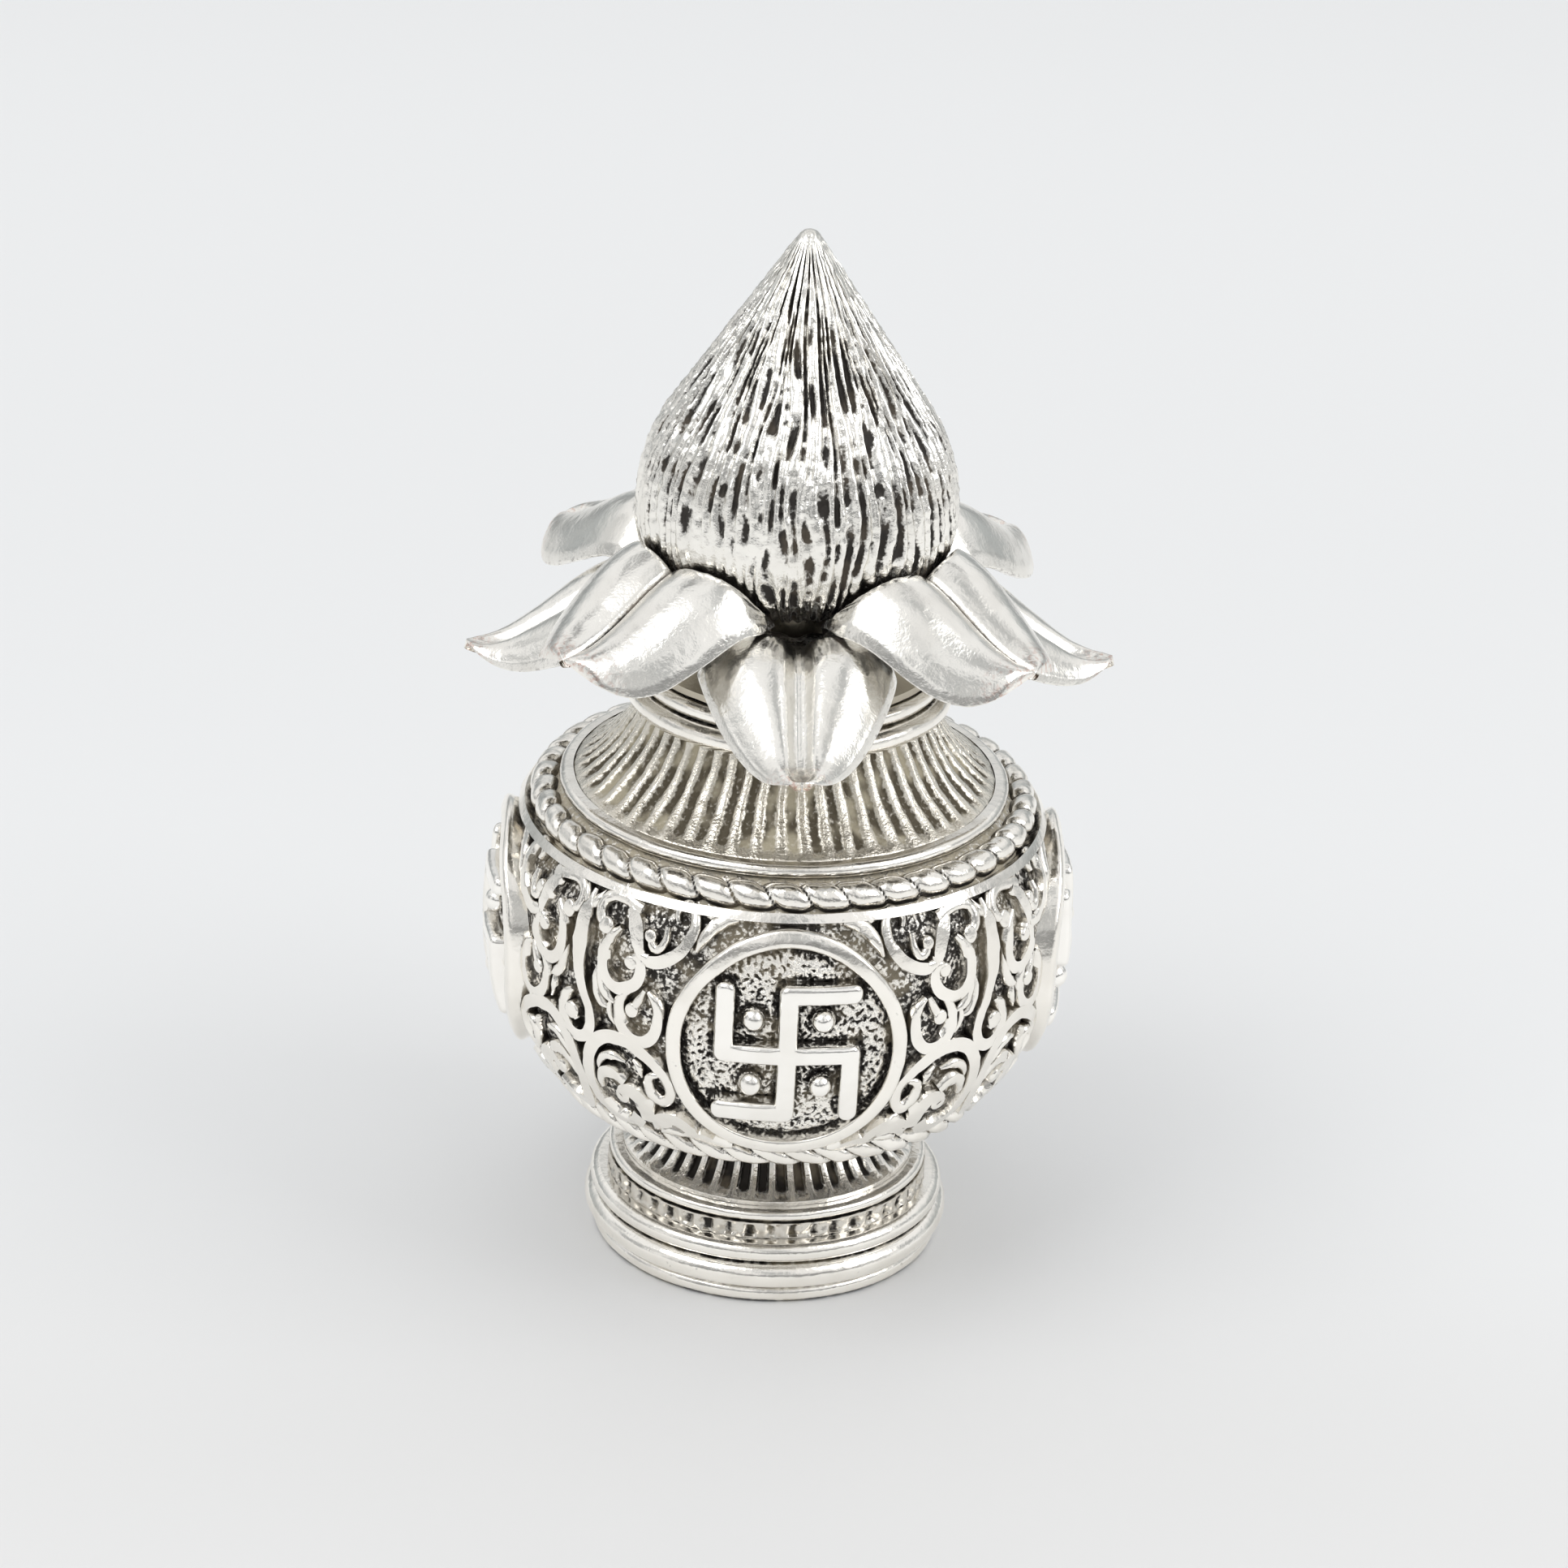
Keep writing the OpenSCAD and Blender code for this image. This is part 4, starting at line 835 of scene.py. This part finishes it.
FURROWS = 76
FURROW_DEEP = 0.62
SHOULDER, TAPER, TIP = 20.0, 33.8, 1.5
under = [(0, coco_low)] + arc(low_x, mid_z, LOW_ROUND, -90, 0, 50)
over = arc(coco_r - SHOULDER, mid_z, SHOULDER, 1, TAPER, 36)
x, z = over[-1]
tip_z = z + x / tan(radians(TAPER)) - TIP / sin(radians(TAPER))
section = even(under + over + arc(0, tip_z, TIP, TAPER, 90, 8), 0.36)
husk = lathe(section, 540, closed=False)
husk.normal_update()
layer = hollows(husk)
marks = Random(11)
phase = [marks.uniform(-20, 20) for _ in range(FURROWS)]
for v in husk.verts:
    out = hypot(v.co.x, v.co.y)
    if out < 0.8:
        continue
    a = atan2(v.co.y, v.co.x)
    bend = 0.012 * noise.noise(Vector((a * 6, v.co.z / 9, 1)))
    place = ((a / (2 * pi) + bend) % 1) * FURROWS
    index = int(place) % FURROWS
    wide = 0.22 + 0.2 * noise.noise(Vector((index * 3.7, v.co.z / 4, 5)))
    crease = valley(place % 1, 0.3, max(0.0, wide))
    if index % 2:
        crease *= max(0.0, min(1.0, (out - 4.5) / 4))
    dash = noise.noise(Vector((phase[index], v.co.z / 3.4, 2))) + 0.4 * noise.noise(v.co / 1.1)
    cut = max(0.0, min(1.0, 0.5 + 1.6 * dash))
    up = (v.co.z - coco_low) / (coco_top - coco_low)
    rubbed = exp(-((degrees(a) + 120) / 26) ** 2 - ((up - 0.22) / 0.11) ** 2)
    ends = min(1.0, max(0.0, (0.975 - up) / 0.06))
    # shade scales the furrows' black: deeper on the right, away from the key light, which is painted shade,
    # and deeper towards the top.
    shade = max(0.0, min(1.1, 0.85 + 0.5 * up + 0.3 * cos(a + 0.6)))
    depth = crease * (0.45 + 0.55 * cut) * (1 - 0.75 * rubbed) * ends
    rough = noise.noise(v.co / 0.7) * 0.16 * (1 - 0.7 * rubbed)
    v[layer] = max(0.0, min(1.0, depth * (0.35 + cut) * shade))
    v.co -= v.normal * (FURROW_DEEP * depth - rough + 0.05)
# Electroplate over a fibrous casting: broken glints between black furrows.
husk_silver = plated_silver("husk_silver_plate", bright="#eceae5", stain="#4f473d", gloss=0.14, pits=0.9,
                            speckle=1.1, fleck=0.4)
piece(husk, "coconut_husk", "coconut", ["coconut_shell"], husk_silver, sharp=80)

radius, bottom, top = extent("coconut_peg")
section = [(0, bottom), (radius - 0.8, bottom), (radius, bottom + 0.8), (radius, top), (0, top)]
turned = lathe(even(section, 1.0), 64, closed=False)
piece(turned, "coconut_stub", "coconut", ["coconut_peg"], worn_silver, sharp=30)

# ---------------------------------------------------------------- table, light and camera
# A white table in a soft studio: a broad light over the left shoulder, a fainter one on the right and
# pale walls all round.

TABLE_HALF = 20.0
bm = bmesh.new()
bmesh.ops.create_grid(bm, x_segments=1, y_segments=1, size=TABLE_HALF)
mesh = bpy.data.meshes.new("table")
bm.to_mesh(mesh)
bm.free()
table = bpy.data.objects.new("table", mesh)
bpy.context.scene.collection.objects.link(table)
# Matt white card. The camera sees it with painted shade, a little darker close by, where the studio's light
# falls off; other rays see it plain white.
card = bpy.data.materials.new("white_card")
card.use_nodes = True
paint = card.node_tree
paper = paint.nodes["Principled BSDF"]
paper.inputs["Roughness"].default_value = 0.6
place = add(paint, "TexCoord", {}, {}, "Object")
away = add(paint, "SeparateXYZ", {}, {"Vector": place}, "Y")
# Painted shade: near and far mix the card's colour darker towards the pot.
near = add(paint, "MapRange", SMOOTH, {0: away, 1: -0.06, 2: 0.03})
far = add(paint, "MapRange", SMOOTH, {0: away, 1: 0.12, 2: 0.45})
painted_card_shade = add(paint, "Mix", COLOURS, {0: near, 6: "#dcdcdc", 7: "#e4e5e6"}, 2)
painted_card_shade = add(paint, "Mix", COLOURS, {0: far, 6: painted_card_shade, 7: "#edeeef"}, 2)
look = add(paint, "LightPath", {}, {}, "Is Camera Ray")
colour = add(paint, "Mix", COLOURS, {0: look, 6: "#f3f3f2", 7: painted_card_shade}, 2)
paint.links.new(colour, paper.inputs["Base Color"])
mesh.materials.append(card)

# What the silver mirrors: white cloth walls, greyer low down behind, with folds and two dark strips.
world = bpy.data.worlds.new("studio")
world.use_nodes = True
sky = world.node_tree
way = add(sky, "TexCoord", {}, {}, "Generated")
depth = add(sky, "SeparateXYZ", {}, {"Vector": way}, "Y")
height = add(sky, "SeparateXYZ", {}, {"Vector": way}, "Z")
behind = add(sky, "MapRange", SMOOTH, {0: depth, 1: 0.0, 2: 0.7})
facing = add(sky, "MapRange", SMOOTH, {0: depth, 1: -0.3, 2: -0.7})
low = add(sky, "MapRange", SMOOTH, {0: height, 1: 0.55, 2: 0.2})
far_wall = add(sky, "Math", TIMES, {0: low, 1: behind})
walls = add(sky, "Mix", COLOURS, {0: far_wall, 6: "#ffffff", 7: "#b9bdbe"}, 2)
creases = add(sky, "TexNoise", {}, {"Vector": way, "Scale": 2.6, "Detail": 1.0})
folds = add(sky, "MapRange", SMOOTH, {0: creases, 1: 0.46, 2: 0.7, 4: 0.75})
walls = add(sky, "Mix", COLOURS, {0: folds, 6: walls, 7: "#8f9293"}, 2)


def dark_strip(start, full, fade, end, colour, under, side):
    """A soft dark strip on the walls of one side, between two heights."""
    rise = add(sky, "MapRange", SMOOTH, {0: height, 1: start, 2: full})
    fall = add(sky, "MapRange", SMOOTH, {0: height, 1: end, 2: fade})
    strip = add(sky, "Math", TIMES, {0: rise, 1: fall})
    strip = add(sky, "Math", TIMES, {0: strip, 1: side})
    return add(sky, "Mix", COLOURS, {0: strip, 6: under, 7: colour}, 2)


room = dark_strip(0.83, 0.86, 0.89, 0.92, "#3a3a3a", walls, behind)
room = dark_strip(0.05, 0.12, 0.2, 0.4, "#8d8e8e", room, facing)
look = add(sky, "LightPath", {}, {}, "Is Camera Ray")
seen = add(sky, "Mix", COLOURS, {0: look, 6: room, 7: "#ebecee"}, 2)
sky.links.new(seen, sky.nodes["Background"].inputs["Color"])
sky.nodes["Background"].inputs["Strength"].default_value = 0.99
bpy.context.scene.world = world


def soft_box(name, place, target, wide, high, watts):
    """A rectangular lamp that looks at a point."""
    data = bpy.data.lights.new(name, "AREA")
    data.shape = "RECTANGLE"
    data.size, data.size_y = wide, high
    data.energy = watts
    lamp = bpy.data.objects.new(name, data)
    lamp.location = place
    lamp.rotation_euler = (Vector(target) - Vector(place)).to_track_quat("-Z", "Y").to_euler()
    bpy.context.scene.collection.objects.link(lamp)


soft_box("key", (-0.45, -0.35, 0.75), (0, 0, 0.06), 0.6, 0.6, 2.5)
soft_box("fill", (0.6, -0.25, 0.55), (0, 0, 0.06), 0.5, 0.6, 1.8)

DISTANCE = 0.600
AIM_Z = 0.0545
ELEVATION = radians(24.6)
AZIMUTH = radians(-3.0)
TILT = radians(2.7)
FOCAL_PIXELS = 6720
IMAGE = 1932
SENSOR = 36
back = Vector((sin(AZIMUTH) * cos(ELEVATION), -cos(AZIMUTH) * cos(ELEVATION), sin(ELEVATION)))
side = Vector((cos(AZIMUTH), sin(AZIMUTH), 0))
above = back.cross(side)
right = side * cos(TILT) + above * sin(TILT)
upright = above * cos(TILT) - side * sin(TILT)
camera = bpy.data.objects.new("camera", bpy.data.cameras.new("camera"))
camera.data.sensor_width = SENSOR
camera.data.lens = SENSOR * FOCAL_PIXELS / IMAGE
camera.data.clip_start = 0.05
camera.matrix_world = Matrix((
    (right.x, upright.x, back.x, back.x * DISTANCE),
    (right.y, upright.y, back.y, back.y * DISTANCE),
    (right.z, upright.z, back.z, back.z * DISTANCE + AIM_Z),
    (0, 0, 0, 1)))
bpy.context.scene.collection.objects.link(camera)
bpy.context.scene.camera = camera
bpy.context.scene.view_settings.view_transform = "Standard"
